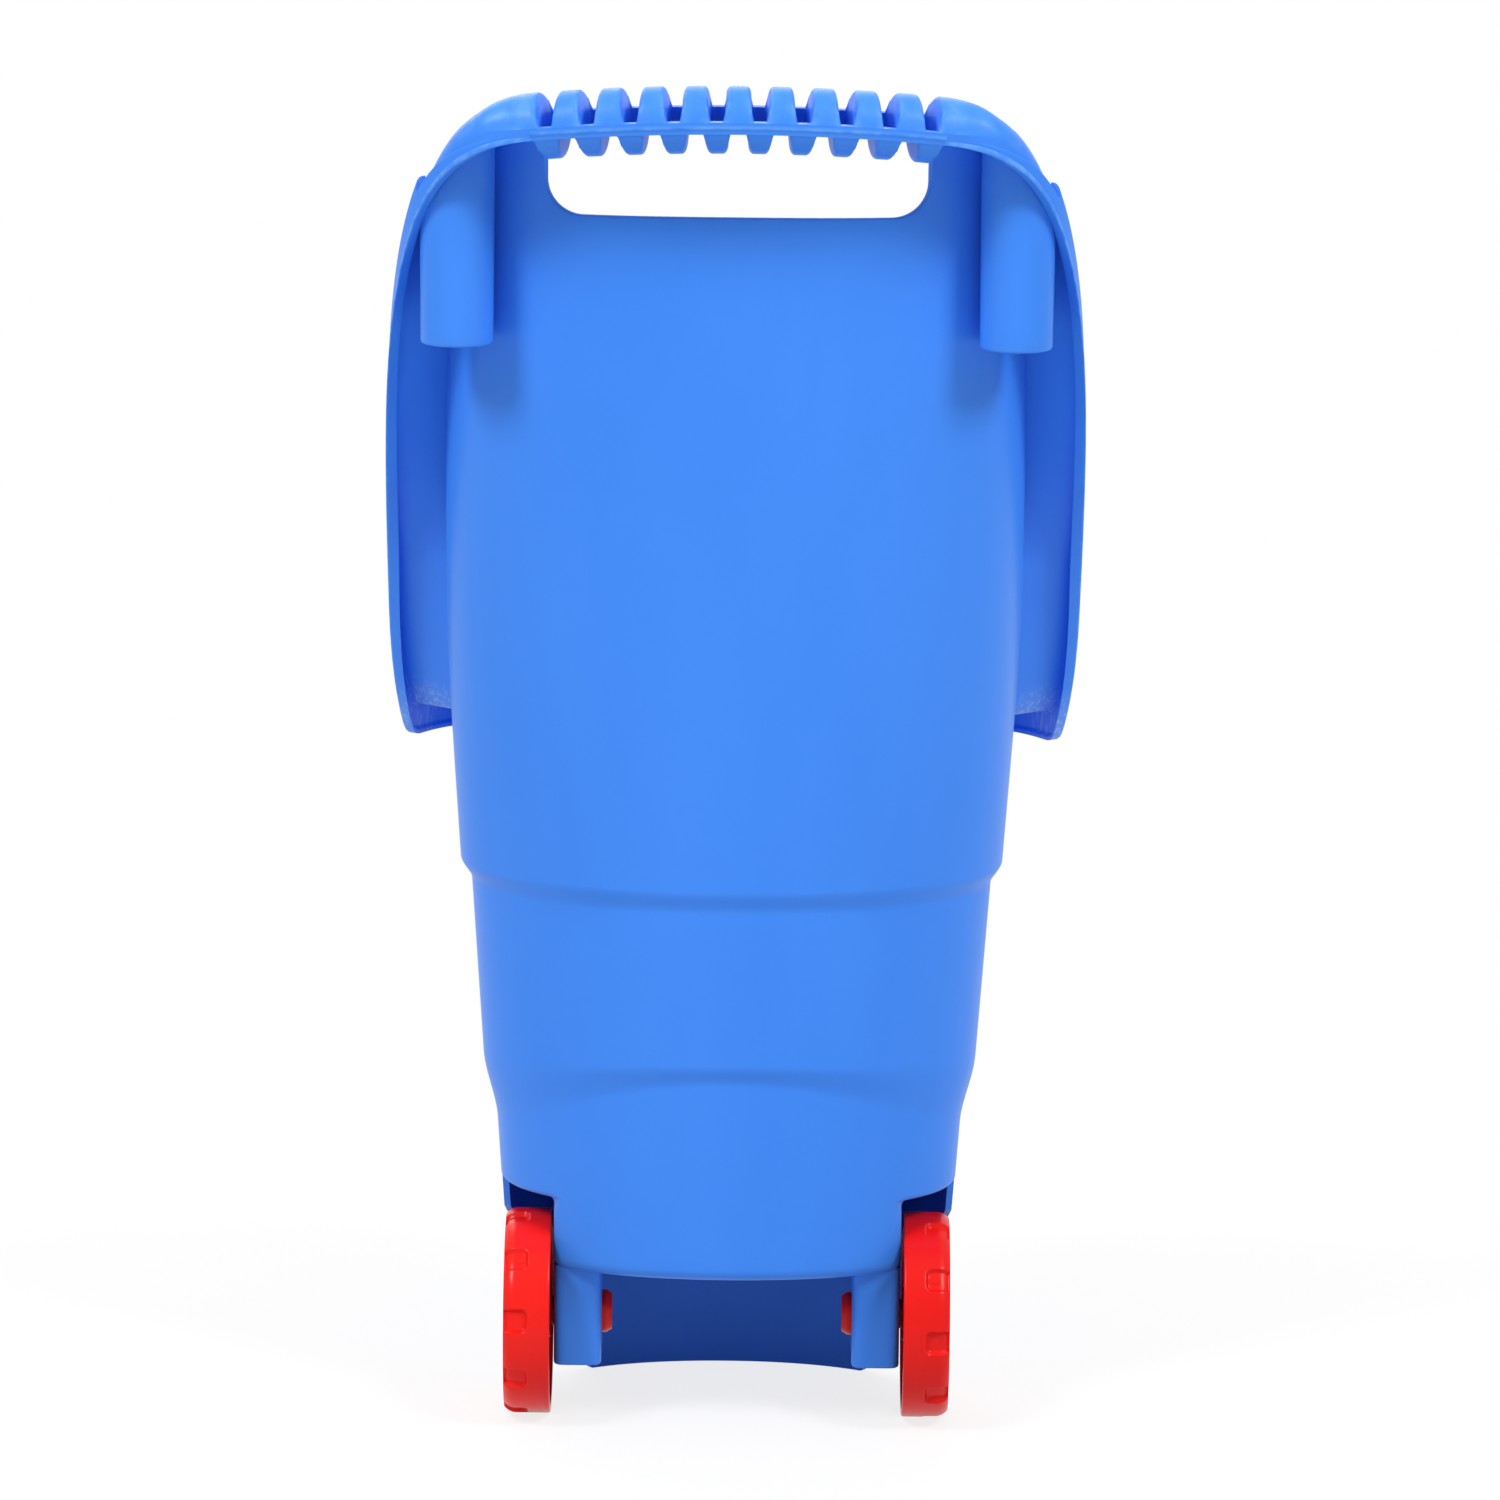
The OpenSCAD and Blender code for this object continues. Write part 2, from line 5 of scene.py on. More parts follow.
import bpy
import numpy as np
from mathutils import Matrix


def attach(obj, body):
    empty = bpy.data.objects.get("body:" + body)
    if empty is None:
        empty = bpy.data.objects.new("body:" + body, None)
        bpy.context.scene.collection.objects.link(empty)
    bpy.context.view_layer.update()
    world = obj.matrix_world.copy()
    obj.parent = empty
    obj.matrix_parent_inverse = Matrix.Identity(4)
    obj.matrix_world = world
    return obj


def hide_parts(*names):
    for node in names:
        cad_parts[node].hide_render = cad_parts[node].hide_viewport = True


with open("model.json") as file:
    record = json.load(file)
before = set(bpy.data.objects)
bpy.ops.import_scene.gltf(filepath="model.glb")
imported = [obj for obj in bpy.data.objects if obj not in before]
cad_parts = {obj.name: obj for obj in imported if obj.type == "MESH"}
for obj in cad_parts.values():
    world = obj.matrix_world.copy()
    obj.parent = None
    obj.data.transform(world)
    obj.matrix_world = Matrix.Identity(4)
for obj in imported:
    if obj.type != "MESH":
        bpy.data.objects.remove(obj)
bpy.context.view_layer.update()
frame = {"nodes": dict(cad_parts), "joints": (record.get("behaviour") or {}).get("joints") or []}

# Place of the axle, from which the lengths along the trolley are measured
AXLE_Y = frame["joints"][0]["pos_m"][1]

bl_info = {
    "name": "Moulded beach trolley",
    "version": (1, 0, 0),
    "blender": (4, 5, 0),
    "location": "View3D > Sidebar > Trolley",
    "description": "Builds the tub, rim, handle, wheels and studio of a child's moulded trolley",
    "category": "Add Mesh",
}

BACK = -math.pi / 2
QUARTER = math.pi / 2
FULL = 2 * math.pi
SIDES = {"left": -1, "right": 1}

# Points over a rounded edge, and round a tool socket and a bore
ROUND_POINTS = 7
TUBE_POINTS = 96
BORE_POINTS = 64

# Angles in radians past which an edge is shaded sharp
CREASE = 0.6
RIB_CREASE = 0.7

# Least distance in metres that keeps two lines of points apart
HAIR = 0.00001

# Distances in metres outside the hand hole's sides at which the tub has a line of points
HOLE_LINES = (2 * HAIR, 0.0006, 0.0015)

# Shares of a rib's sloping side, and of the slots' half width, at which the handle has a line of points
SLOPE_LINES = (0.04, 0.5, 0.96, 1.0)
SLOT_LINES = (-1.004, -0.999, 0.999, 1.004)

# First line, last line and number of lines at a ledge, in shares of its run, and at a notch, in shares of
# its width
LEDGE_LINES = (-1.2, 1.2, 12)
NOTCH_LINES = (-0.75, 0.75, 33)

# First angle in plan, last angle and number of tries in the searches along a shoulder
BOW_SEARCH = (BACK + 0.02, -0.5, 4000)
PLATE_SEARCH = (BACK + 0.1, -0.1, 3000)

# Scales of flow streaks and scratches along the axes, and of the breaks in rubbed edges
STREAK_SCALE = (14.0, 14.0, 4.0)
SCRATCH_SCALE = (760.0, 760.0, 170.0)
RUB_SCALE = 160.0

# Values between which streaks, rubbed spots, scratches, specks and the whole of a scuff with its painted
# sheen set in
STREAK_SPAN = (0.3, 0.7)
RUB_SPAN = (0.35, 0.7)
SCRATCH_SPAN = (0.48, 0.64)
SPECK_SPAN = (0.055, 0.025)
SCUFF_SHEEN_SPAN = (1.0, 0.2)

# Strength of scratches in a scuff, and of the pale haze under them, which is a painted sheen of light on the
# upward-facing corner
SCRATCH = 0.34
PAINTED_SHEEN = 0.12

# Scale of the coarse pebble beside the fine one, and the shares of both in the height
COARSE_SCALE = 0.12
FINE_SHARE = 0.7
COARSE_SHARE = 0.3

# Width of the camera's sensor in millimetres, and how far it sees in metres
SENSOR_W = 36
SIGHT = 60


# Kinds of setting

def length(name, default, description):
    """A length in metres."""
    return bpy.props.FloatProperty(
        name=name, description=description, default=default, unit="LENGTH", precision=4)


def angle(name, degrees, description):
    """An angle, given in degrees."""
    return bpy.props.FloatProperty(
        name=name, description=description, default=math.radians(degrees), subtype="ANGLE")


def plain(name, default, description):
    """A number with no unit."""
    return bpy.props.FloatProperty(name=name, description=description, default=default)


def count(name, default, description):
    """A number of things."""
    return bpy.props.IntProperty(name=name, description=description, default=default, min=1)


def tint(name, default, description):
    """A colour."""
    return bpy.props.FloatVectorProperty(
        name=name, description=description, default=default, subtype="COLOR", size=4, min=0, max=1)


def place(name, default, description):
    """A point in metres."""
    return bpy.props.FloatVectorProperty(
        name=name, description=description, default=default, subtype="TRANSLATION")


# Settings

class TubSizes(bpy.types.PropertyGroup):
    """Sizes of the tub; lengths along the trolley run from the axle"""
    wall: length("Wall", 0.0026, "Thickness of the moulded walls")
    floor_z: length("Floor height", 0.065, "Height of the underside of the narrow bottom")
    sump_w: length("Bottom width", 0.142, "Width of the narrow bottom between the wheels")
    bottom_round: length("Bottom round", 0.005, "Rounding of the bottom's lower edge")
    well_z: length("Wheel arch height", 0.095, "Height of the flat roof over each wheel")
    arch_fillet: length("Arch fillet", 0.003, "Fillet where the arch roof meets the bottom's sides")
    arch_edge: length("Arch edge", 0.0022, "Rounding of the arch roof's outer edge")
    base_w: length("Base width", 0.187, "Width of the tub at the arch roof")
    base_back: length("Base back", 0.040, "Back of the tub at the arch roof, behind the axle")
    base_front: length("Base front", 0.078, "Front of the tub at the arch roof, ahead of the axle")
    top_w: length("Top width", 0.235, "Greatest width of the tub")
    side_draft: angle("Side draft", 4.0, "Lean of the sides")
    back_lean: angle("Back lean", 2.5, "Lean of the back wall")
    front_lean: angle("Front lean", 4.5, "Lean of the front wall")
    low_step_z: length("Lower step", 0.148, "Height of the lower step")
    high_step_z: length("Upper step", 0.221, "Height of the upper step")
    step_rise: length("Step rise", 0.009, "Height over which a step turns out")
    step_drop: length("Step drop", 0.028, "How far the foot of the lower step sinks at the sides")
    step_side: length("Step at sides", 0.004, "How far a step stands out at the sides")
    step_back: length("Step at back", 0.0025, "How far a step stands out at the back and front")
    bottom_square: plain("Lower squareness", 2.1, "Power of the oval plan below the upper step")
    top_square: plain("Upper squareness", 3.0, "Power of the oval plan near the mouth")
    full_square_z: length("Full squareness height", 0.433, "Height at which the plan is squarest")
    mouth_slope: angle("Mouth slope", 60.6, "Slope of the slanted mouth")
    mouth_mid_z: length("Mouth middle", 0.394, "Height of the mouth line above the axle")
    edge_front_z: length("Mouth front", 0.269, "Height of the rim's edge at the front")
    edge_back_z: length("Mouth back", 0.540, "Height of the rim's edge at the back")
    mouth_soft: length("Front softness", 0.0025, "Rounding of the mouth line's front bend")
    handle_soft: length("Handle softness", 0.014, "Rounding of the mouth line's bend at the handle")
    hole_half: length("Hand hole half width", 0.0766, "Half of the hand hole's width")
    hole_z: length("Hand hole height", 0.505, "Height of the hand hole's lower edge")
    hole_round: length("Hand hole round", 0.015, "Radius of the hand hole's lower corners")
    columns: count("Columns", 300, "Columns of the tub's surface round its plan")


class RimSizes(bpy.types.PropertyGroup):
    """Sizes of the rim and the two shoulders beside the handle"""
    height: length("Height", 0.018, "Height of the rim's skirt")
    width: length("Width", 0.2809, "Greatest width of the rim")
    back: length("Back", 0.097, "Back of the rim line, behind the axle")
    front: length("Front", 0.120, "Front of the rim line, ahead of the axle")
    mid: length("Widest line", 0.032, "Distance of the rim's widest line ahead of the axle")
    rear_square: plain("Rear squareness", 3.6, "Power of the rim's plan behind its widest line")
    nose_square: plain("Front squareness", 2.75, "Power of the rim's plan ahead of its widest line")
    plate: length("Plate", 0.0052, "Thickness of the rim's top plate")
    corner: length("Corner", 0.0035, "Rounding from the top plate to the skirt")
    lip: length("Inner lip", 0.0012, "Rounding of the plate's inner edge")
    bead_h: length("Bead height", 0.0030, "Height of the bead along the skirt's lower edge")
    bead_out: length("Bead", 0.0010, "How far the bead stands out")
    bead_in: length("Bead inside", 0.0012, "How far the skirt thickens inwards at its lower edge")
    shoulder_step: length("Shoulder step", 0.0028, "Ledge where a shoulder meets the side rim")
    shoulder_round: length("Shoulder round", 0.010, "Rounding of a shoulder's top")
    shoulder_angle: angle("Shoulder angle", 34.0, "Angle in plan at which a shoulder ends")
    end_drop: length("End drop", 0.0105, "How far the tub's wall drops under a shoulder's end at the handle")
    end_run: angle("End run", 12.0, "Angle over which the tub's wall drops there")
    end_len: length("End length", 0.026, "Length over which a shoulder takes the handle's section")
    band_h: length("Band height", 0.0125, "Height of the band under a shoulder, at the ledge")
    band_edge: length("Band edge", 0.0012, "Rounding of the band's upper edge")
    band_fade: plain("Band fade", 1.5, "Power with which the band narrows towards the handle")
    ledge_run: angle("Ledge run", 0.35, "Angle over which the ledge steps out")
    corner_wear: plain("Corner wear", 0.5, "How worn the corner is beside the bead, which is 1")
    sections: count("Sections", 430, "Sections along the rim")


class HandleSizes(bpy.types.PropertyGroup):
    """Sizes of the finger-grip handle"""
    back: length("Back", 0.085, "Middle of the bar, behind the axle")
    height: length("Height", 0.5465, "Height of the middle of the bar")
    radius: length("Radius", 0.0132, "Radius of the bar over its ribs")
    half: length("Half length", 0.078, "Half of the bar's length")
    bow: length("Bow", 0.010, "How far the middle bows to the back")
    rise: length("Rise", 0.0045, "How far the middle stands above the ends")
    lean: angle("Lean", 8.0, "Lean of the bar's section towards the back")
    rib_count: count("Ribs", 9, "Ribs over the bar")
    rib_pitch: length("Rib pitch", 0.0163, "Distance between ribs")
    rib_len: length("Rib length", 0.0096, "Length of a rib along the bar, at its top")
    lug_len: length("Lug length", 0.0086, "Length of a lug under the bar, at its lower end")
    rib_round: length("Rib round", 0.0019, "Rounding of a rib's top edges")
    lug_round: length("Lug round", 0.0022, "Rounding of a lug's lower edges")
    rib_draft: length("Rib draft", 0.0010, "Widening of a rib or lug towards its root")
    band: length("Band", 0.0048, "Height of the band along the bar")
    bead: length("Bead", 0.0005, "How far the bead on the band stands out")
    bead_place: plain("Bead place", 0.45, "Share of the way down the band at which the bead lies")
    bead_spread: plain("Bead spread", 0.12, "Width of the bead as a share of the band")
    rib_wear: plain("Rib wear", 0.6, "How worn a rib's edges are beside the bead, which is 1")
    wall: length("Wall", 0.0026, "Thickness of the bar's walls")


class FittingSizes(bpy.types.PropertyGroup):
    """Sizes of the tool sockets, the axle posts and the front foot"""
    socket_x: length("Socket place", 0.1107, "Distance of each tool socket from the middle")
    socket_back: length("Socket back", 0.05184, "Distance of the tool sockets behind the axle")
    socket_top_d: length("Socket top", 0.0298, "Outer diameter of a tool socket at its top")
    socket_end_d: length("Socket end", 0.0288, "Outer diameter of a tool socket at its lower end")
    socket_bore_d: length("Socket bore", 0.022, "Diameter of a tool socket's bore")
    socket_end_z: length("Socket end height", 0.4525, "Height of a tool socket's lower end")
    socket_lip: length("Socket lip", 0.0008, "How far a tool socket's mouth stands above the rim")
    socket_inset: length("Socket inset", 0.0008, "How far the rim runs into a tool socket's wall")
    socket_round: length("Socket round", 0.0012, "Rounding of a tool socket's edges")
    post_x: length("Post place", 0.0611, "Distance of each axle post from the middle")
    post_w: length("Post width", 0.0195, "Width of an axle post")
    post_back: length("Post back", 0.0195, "Back of an axle post, behind the axle")
    post_square: plain("Post squareness", 0.33, "Power of the post's round back edges, smaller is squarer")
    post_front: length("Post front", 0.019, "Front of an axle post, ahead of the axle")
    post_z: length("Post height", 0.0240, "Height of an axle post's lower end")
    post_round: length("Post round", 0.001, "Rounding of an axle post's lower edge")
    post_bore_r: length("Post bore", 0.00608, "Radius of the bore that an axle pin turns in")
    foot_w: length("Foot width", 0.124, "Width of the foot on the ground")
    foot_side_z: length("Foot side height", 0.022, "Height of the apron beside the foot")
    foot_ease: length("Foot ease", 0.0128, "Width over which the apron rises beside the foot")
    foot_columns: count("Foot columns", 400, "Columns of the apron's surface, before its back is left out")
    foot_rows: count("Foot rows", 30, "Rows of the apron's surface from its lower edge up")
    apron_start: length("Apron start", 0.022, "Where the apron starts, ahead of the axle")
    arch_r: length("Arch radius", 0.0445, "Radius of the arch that the apron leaves round each wheel")
    arch_z: length("Arch height", 0.0422, "Height of the middle of that arch")


class WheelSizes(bpy.types.PropertyGroup):
    """Sizes of the two wheels"""
    radius: length("Radius", 0.0422, "Radius of a wheel")
    width: length("Width", 0.02005, "Width of a wheel")
    inner_x: length("Inner side", 0.0721, "Distance of a wheel's inner side from the middle")
    tread: length("Tread", 0.0034, "Thickness of the tread")
    shoulder: length("Shoulder", 0.006, "Rounding of the tread's outer edge")
    disc: length("Disc", 0.003, "Thickness of the disc")
    disc_in: length("Disc inset", 0.0035, "How far the disc lies inside the outer side")
    hub_r: length("Hub radius", 0.011, "Radius of the hub")
    bore_r: length("Bore radius", 0.00603, "Radius of the hub's bore")
    edge: length("Edge", 0.0009, "Rounding of the other edges")
    notch_count: count("Notches", 10, "Notches round the tread")
    notch_w: length("Notch width", 0.0088, "Width of a notch")
    notch_len: length("Notch length", 0.0106, "Length of a notch from the outer side")
    notch_depth: length("Notch depth", 0.0019, "Depth of a notch")
    notch_round: length("Notch round", 0.0022, "Rounding of a notch's corners")
    notch_edge: length("Notch edge", 0.0015, "Width of a notch's sloping edge")
    notched_tread: plain("Notched tread", 0.75, "Share of the tread's thickness that a notch presses in")
    notch_left: angle("Left notch turn", 44.8, "Angle of a notch on the left wheel above the back")
    notch_right: angle("Right notch turn", 34.6, "Angle of a notch on the right wheel above the back")
    spoke_count: count("Spokes", 6, "Stiffening spokes inside a wheel")
    spoke_t: length("Spoke", 0.0022, "Thickness of a spoke")
    spoke_z: length("Spoke depth", 0.003, "How far the spokes lie inside the inner side")
    spoke_side: plain("Spoke sides", 0.35, "Power of a spoke's section across, smaller is squarer")
    spoke_end: plain("Spoke ends", 0.2, "Power of a spoke's section along the axle, smaller is squarer")


class FinishSettings(bpy.types.PropertyGroup):
    """Colours and surface of the plastics"""
    blue: tint("Blue", (0.054, 0.258, 0.92, 1), "Colour of the moulded body")
    blue_deep: tint("Deep blue", (0.047, 0.243, 0.885, 1), "Darker flow streaks in the body")
    blue_worn: tint("Worn blue", (0.20, 0.47, 0.97, 1), "Rubbed edges of the body")
    blue_rough: plain("Blue roughness", 0.36, "Roughness of the body")
    blue_grain: plain("Blue grain", 1500.0, "Scale of the fine pebble on the body")
    red: tint("Red", (0.87, 0.010, 0.006, 1), "Colour of the wheels")
    red_deep: tint("Deep red", (0.78, 0.006, 0.004, 1), "Darker flow streaks in the wheels")
    red_worn: tint("Worn red", (0.93, 0.06, 0.035, 1), "Rubbed edges of the wheels")
    red_rough: plain("Red roughness", 0.24, "Roughness of the wheels")
    red_grain: plain("Red grain", 1100.0, "Scale of the fine pebble on the wheels")
    shine: plain("Shine", 0.2, "Specular level of the plastics")
    pebble: plain("Pebble", 0.12, "Strength of the fine pebble")
    pebble_depth: length("Pebble depth", 0.0002, "Depth of the fine pebble")
    streak_rough: plain("Streak roughness", 0.06, "Roughness that a flow streak adds")
    rubbing: plain("Rubbing", 0.55, "How strongly the marked edges are rubbed")
    # Whitish scuffs in the rim's lower corners, partly real scratches and partly a painted sheen of light on
    # the upward-facing corner
    scuff: tint("Scuff", (0.62, 0.74, 0.90, 1), "Whitish scuffs in the rim's lower corners")
    scuff_rough: plain("Scuff roughness", 0.2, "Roughness that a scuff adds")
    scuff_sheen_place: place("Scuff place", (0.125, 0.055, 0.276), "Middle of the scuffs on the right side")
    scuff_sheen_reach: length("Scuff reach", 0.027, "How far round that place the scuffs go")
    speck: tint("Speck", (0.05, 0.07, 0.14, 1), "Tiny specks of dirt")
    speck_scale: plain("Speck scale", 42.0, "Scale of the cells that may hold a speck")
    speck_share: plain("Speck share", 0.035, "Share of the cells that hold one")


class StudioSettings(bpy.types.PropertyGroup):
    """Camera, lamps and floor"""
    camera_place: place("Camera", (0.00707, -3.3409, 0.962), "Place of the camera")
    camera_pitch: angle("Camera pitch", 11.6, "How far the camera looks down")
    camera_roll: angle("Camera roll", 0.62, "Turn of the camera about its own axis")
    camera_lens: plain("Lens", 200.9, "Focal length of the camera in millimetres")
    floor_half: length("Floor half size", 12.0, "Half of the floor's side")
    shadow_near: length("Full shadow", 0.15, "How far round the object the floor takes its full shadow")
    shadow_reach: length("Shadow reach", 0.75, "How far round the object the floor takes any shadow")
    floor_white: tint("Floor", (0.93, 0.93, 0.93, 1), "Colour of the floor as it is seen")
    floor_bounce: tint("Floor bounce", (0.65, 0.65, 0.65, 1), "Colour of the floor for light it throws back")
    floor_rough: plain("Floor roughness", 0.9, "Roughness of the floor")
    floor_glow: plain("Floor glow", 0.8, "Share of plain white in the floor beside the object")
    world_level: plain("Fill light", 0.38, "Strength of the light from all round")
    lamp_target: place("Lamp target", (0, 0, 0.3), "Point that the lamps are turned to")
    left_place: place("Left lamp place", (-1.9, -1.65, 2.9), "Place of the left lamp")
    left_power: plain("Left lamp", 68.0, "Power of the left lamp in watts")
    left_size: length("Left lamp size", 0.9, "Side of the left lamp")
    right_place: place("Right lamp place", (2.0, -1.65, 2.8), "Place of the right lamp")
    right_power: plain("Right lamp", 65.5, "Power of the right lamp in watts")
    right_size: length("Right lamp size", 0.9, "Side of the right lamp")
    front_place: place("Front lamp place", (-0.6, 2.6, 2.2), "Place of the lamp ahead of the trolley")
    front_power: plain("Front lamp", 40.0, "Power of the lamp ahead of the trolley in watts")
    front_size: length("Front lamp size", 2.6, "Side of the lamp ahead of the trolley")
    top_place: place("Top lamp place", (0.1, 0.3, 2.4), "Place of the top lamp")
    top_power: plain("Top lamp", 4.0, "Power of the top lamp in watts")
    top_size: length("Top lamp size", 2.6, "Side of the top lamp")


# Formulas shared by the pieces

def soft_max(a, b, soft):
    """The larger of two values, with the bend between them rounded over the length soft."""
    return soft * np.logaddexp(a / soft, b / soft)


def soft_min(a, b, soft):
    """The smaller of two values, with the bend between them rounded over the length soft."""
    return -soft_max(-a, -b, soft)


def signed_pow(value, power):
    """The size of a value raised to a power, with the value's sign."""
    return np.sign(value) * np.abs(value) ** power


def smooth(share):
    """An even S-shaped rise from 0 to 1 as the share goes from 0 to 1."""
    held = np.clip(share, 0, 1)
    return held * held * (3 - 2 * held)


def oval(turn, half, back, front, square):
    """Superellipse plan: half wide, from -back to front, squarer as its power grows."""
    x = half * signed_pow(np.cos(turn), 2 / square)
    y = (front - back) / 2 + (front + back) / 2 * signed_pow(np.sin(turn), 2 / square)
    return x, y


def mouth_edge(tub, y):
    """Slanted line from the high back to the low front, its two bends rounded."""
    slant = tub.mouth_mid_z - y * math.tan(tub.mouth_slope)
    return soft_min(tub.edge_back_z, soft_max(tub.edge_front_z, slant, tub.mouth_soft), tub.handle_soft)


def rim_line(rim, turn, inset):
    """Plan of the rim: two half superellipses that meet at its widest line, drawn in by inset."""
    rear = np.sin(turn) < 0
    power = 2 / np.where(rear, rim.rear_square, rim.nose_square)
    depth = np.where(rear, rim.mid + rim.back, rim.front - rim.mid)
    x = (rim.width / 2 - inset) * signed_pow(np.cos(turn), power)
    return x, rim.mid + depth * signed_pow(np.sin(turn), power)


def rim_top(tub, rim, turn):
    """Height of the rim's top: the mouth's slanted line under the rim, and the rim's height."""
    return mouth_edge(tub, rim_line(rim, turn, 0.0)[1]) + rim.height


def tub_wall(tub, turn, z, steps, inset, trim=0.0, shrink=0.0):
    """Plan of the tub at a height: an oval that widens with the draft and by each step passed."""
    rise = z - tub.well_z
    wide = tub.base_w / 2 + rise * math.tan(tub.side_draft) + steps * tub.step_side
    half = soft_min(tub.top_w / 2, wide, tub.wall / 2) - inset - shrink
    back = tub.base_back + rise * math.tan(tub.back_lean) + steps * tub.step_back - inset - shrink
    front = tub.base_front + rise * math.tan(tub.front_lean) + steps * tub.step_back - inset - shrink
    square = np.interp(z, [tub.high_step_z, tub.full_square_z], [tub.bottom_square, tub.top_square])
    return oval(turn, half, back - trim, front, square)


def path_run(points):
    """Distance along a path of points, at each of them."""
    return np.concatenate([[0], np.cumsum(np.linalg.norm(np.diff(points, axis=0), axis=1))])


def even_turns(curve, start, end, number, fine=60):
    """Angles that cut a curve, given as a function of the angle, into pieces of equal length."""
    turn = np.linspace(start, end, fine * number)
    run = path_run(np.stack(curve(turn), -1))
    return np.interp(np.linspace(0, run[-1], number), run, turn)


def circle(number):
    """Angles evenly spaced once round, with no place taken twice."""
    return np.linspace(0, FULL, number, endpoint=False)


def quarter(number=ROUND_POINTS):
    """Angles evenly spaced over a quarter turn, both ends among them."""
    return np.linspace(0, QUARTER, number)


def inner_shares(number):
    """Shares evenly spaced between 0 and 1, both ends left out."""
    return np.linspace(0, 1, number + 2)[1:-1]


def joined(runs, across, axis):
    """Runs of points, each a tuple of measures, spread across and joined: one array for each measure."""
    return [np.concatenate([run + 0 * across for run in measure], axis=axis) for measure in zip(*runs)]


# Meshes

def grid_quads(rows, columns, wrap):
    """Quads between neighbours of a grid of points; with wrap the last column meets the first."""
    here = np.arange(columns if wrap else columns - 1)
    beside = (here + 1) % columns
    row = np.arange(rows - 1)[:, None] * columns
    quads = [row + here, row + beside, row + beside + columns, row + here + columns]
    return np.stack(quads, -1).reshape(-1, 4)


def capped_tube(points):
    """Rings of points one above the other, closed at each end by a fan to the middle of the ring there."""
    rows, columns = points.shape[:2]
    here = np.arange(columns)
    beside = (here + 1) % columns
    last = (rows - 1) * columns
    spots = np.concatenate([points.reshape(-1, 3), points[[0, -1]].mean(axis=1)])
    first_fan = np.stack([np.full(columns, rows * columns), beside, here], -1)
    last_fan = np.stack([np.full(columns, rows * columns + 1), last + here, last + beside], -1)
    return spots, [grid_quads(rows, columns, True), first_fan, last_fan]


def column(middle, radius, axis, ends, number):
    """A plain round column along one axis, through a middle point and between two places on the axis."""
    turn = circle(number)
    first, second = (other for other in range(3) if other != axis)
    points = np.zeros((2, number, 3)) + np.array(middle)
    points[:, :, first] += radius * np.cos(turn)
    points[:, :, second] += radius * np.sin(turn)
    points[:, :, axis] = np.array(ends)[:, None]
    return capped_tube(points)


def folded_ends(width, rows, columns):
    """Quads that close both ends of a folded grid, between its first points and the last ones over them."""
    near = np.arange(width - 1)
    far = columns - 1 - near
    cap = np.stack([near + 1, near, far, far - 1], -1)
    return [cap, cap[:, ::-1] + (rows - 1) * columns]


def shell_solid(outer, inner):
    """A sheet with an outer and an inner grid of the same size, joined along all four edges."""
    points = np.concatenate([outer, inner[:, ::-1]], axis=1)
    rows, columns = points.shape[:2]
    return points.reshape(-1, 3), [grid_quads(rows, columns, True), *folded_ends(columns // 2, rows, columns)]


def ring_solid(points):
    """A closed section carried round a closed path: the grid meets itself both ways."""
    rows, columns = points.shape[:2]
    quads = grid_quads(rows + 1, columns, True) % (rows * columns)
    return points.reshape(-1, 3), [quads]


def enclosed_volume(points, groups):
    """Volume inside the faces by the sum of signed corner products, negative when turned inside out."""
    total = 0.0
    for group in groups:
        for corner in range(1, group.shape[1] - 1):
            a, b, c = points[group[:, 0]], points[group[:, corner]], points[group[:, corner + 1]]
            total += np.einsum("ij,ij->", a, np.cross(b, c))
    return total / 6


def fill_mesh(mesh, parts):
    """Puts closed parts into one mesh with their faces turned outwards, moved from the axle to the frame."""
    faces = []
    start = 0
    for points, groups in parts:
        turned = enclosed_volume(points, groups) < 0
        for group in groups:
            faces.extend(((group[:, ::-1] if turned else group) + start).tolist())
        start += len(points)
    spots = np.concatenate([points for points, _ in parts])
    spots[:, 1] += AXLE_Y
    mesh.from_pydata(spots.tolist(), [], faces)


def make_piece(name, parts, body, nodes, finish, crease=CREASE, worn=None):
    """Makes one object of closed parts, gives it a finish by name and hangs it on the frame."""
    mesh = bpy.data.meshes.new(name)
    fill_mesh(mesh, parts)
    mesh.shade_smooth()
    mesh.set_sharp_from_angle(angle=crease)
    if worn is not None:
        mesh.attributes.new("worn", "FLOAT", "POINT").data.foreach_set("value", worn.astype(np.float32))
    mesh.materials.append(bpy.data.materials[finish])
    piece = bpy.data.objects.new(name, mesh)
    bpy.context.scene.collection.objects.link(piece)
    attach(piece, body)
    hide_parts(*nodes)
    return piece


def blue_piece(name, parts, nodes, crease=CREASE, worn=None):
    """Makes a piece of the blue moulding."""
    return make_piece(name, parts, "body", nodes, "blue_moulded", crease, worn)


def cut_away(piece, solids):
    """Takes closed solids out of a finished piece and keeps the result as its mesh."""
    holes = bpy.data.objects.new("holes", bpy.data.meshes.new("holes"))
    fill_mesh(holes.data, solids)
    bpy.context.scene.collection.objects.link(holes)
    cut = piece.modifiers.new("holes", "BOOLEAN")
    cut.operation = "DIFFERENCE"
    cut.solver = "EXACT"
    cut.object = holes
    seen = piece.evaluated_get(bpy.context.evaluated_depsgraph_get())
    left = bpy.data.meshes.new_from_object(seen)
    piece.modifiers.clear()
    old, name = piece.data, piece.data.name
    piece.data = left
    bpy.data.meshes.remove(old)
    left.name = name
    left.shade_smooth()
    left.set_sharp_from_angle(angle=CREASE)
    shape = holes.data
    bpy.data.objects.remove(holes)
    bpy.data.meshes.remove(shape)


# Bow of the handle bar

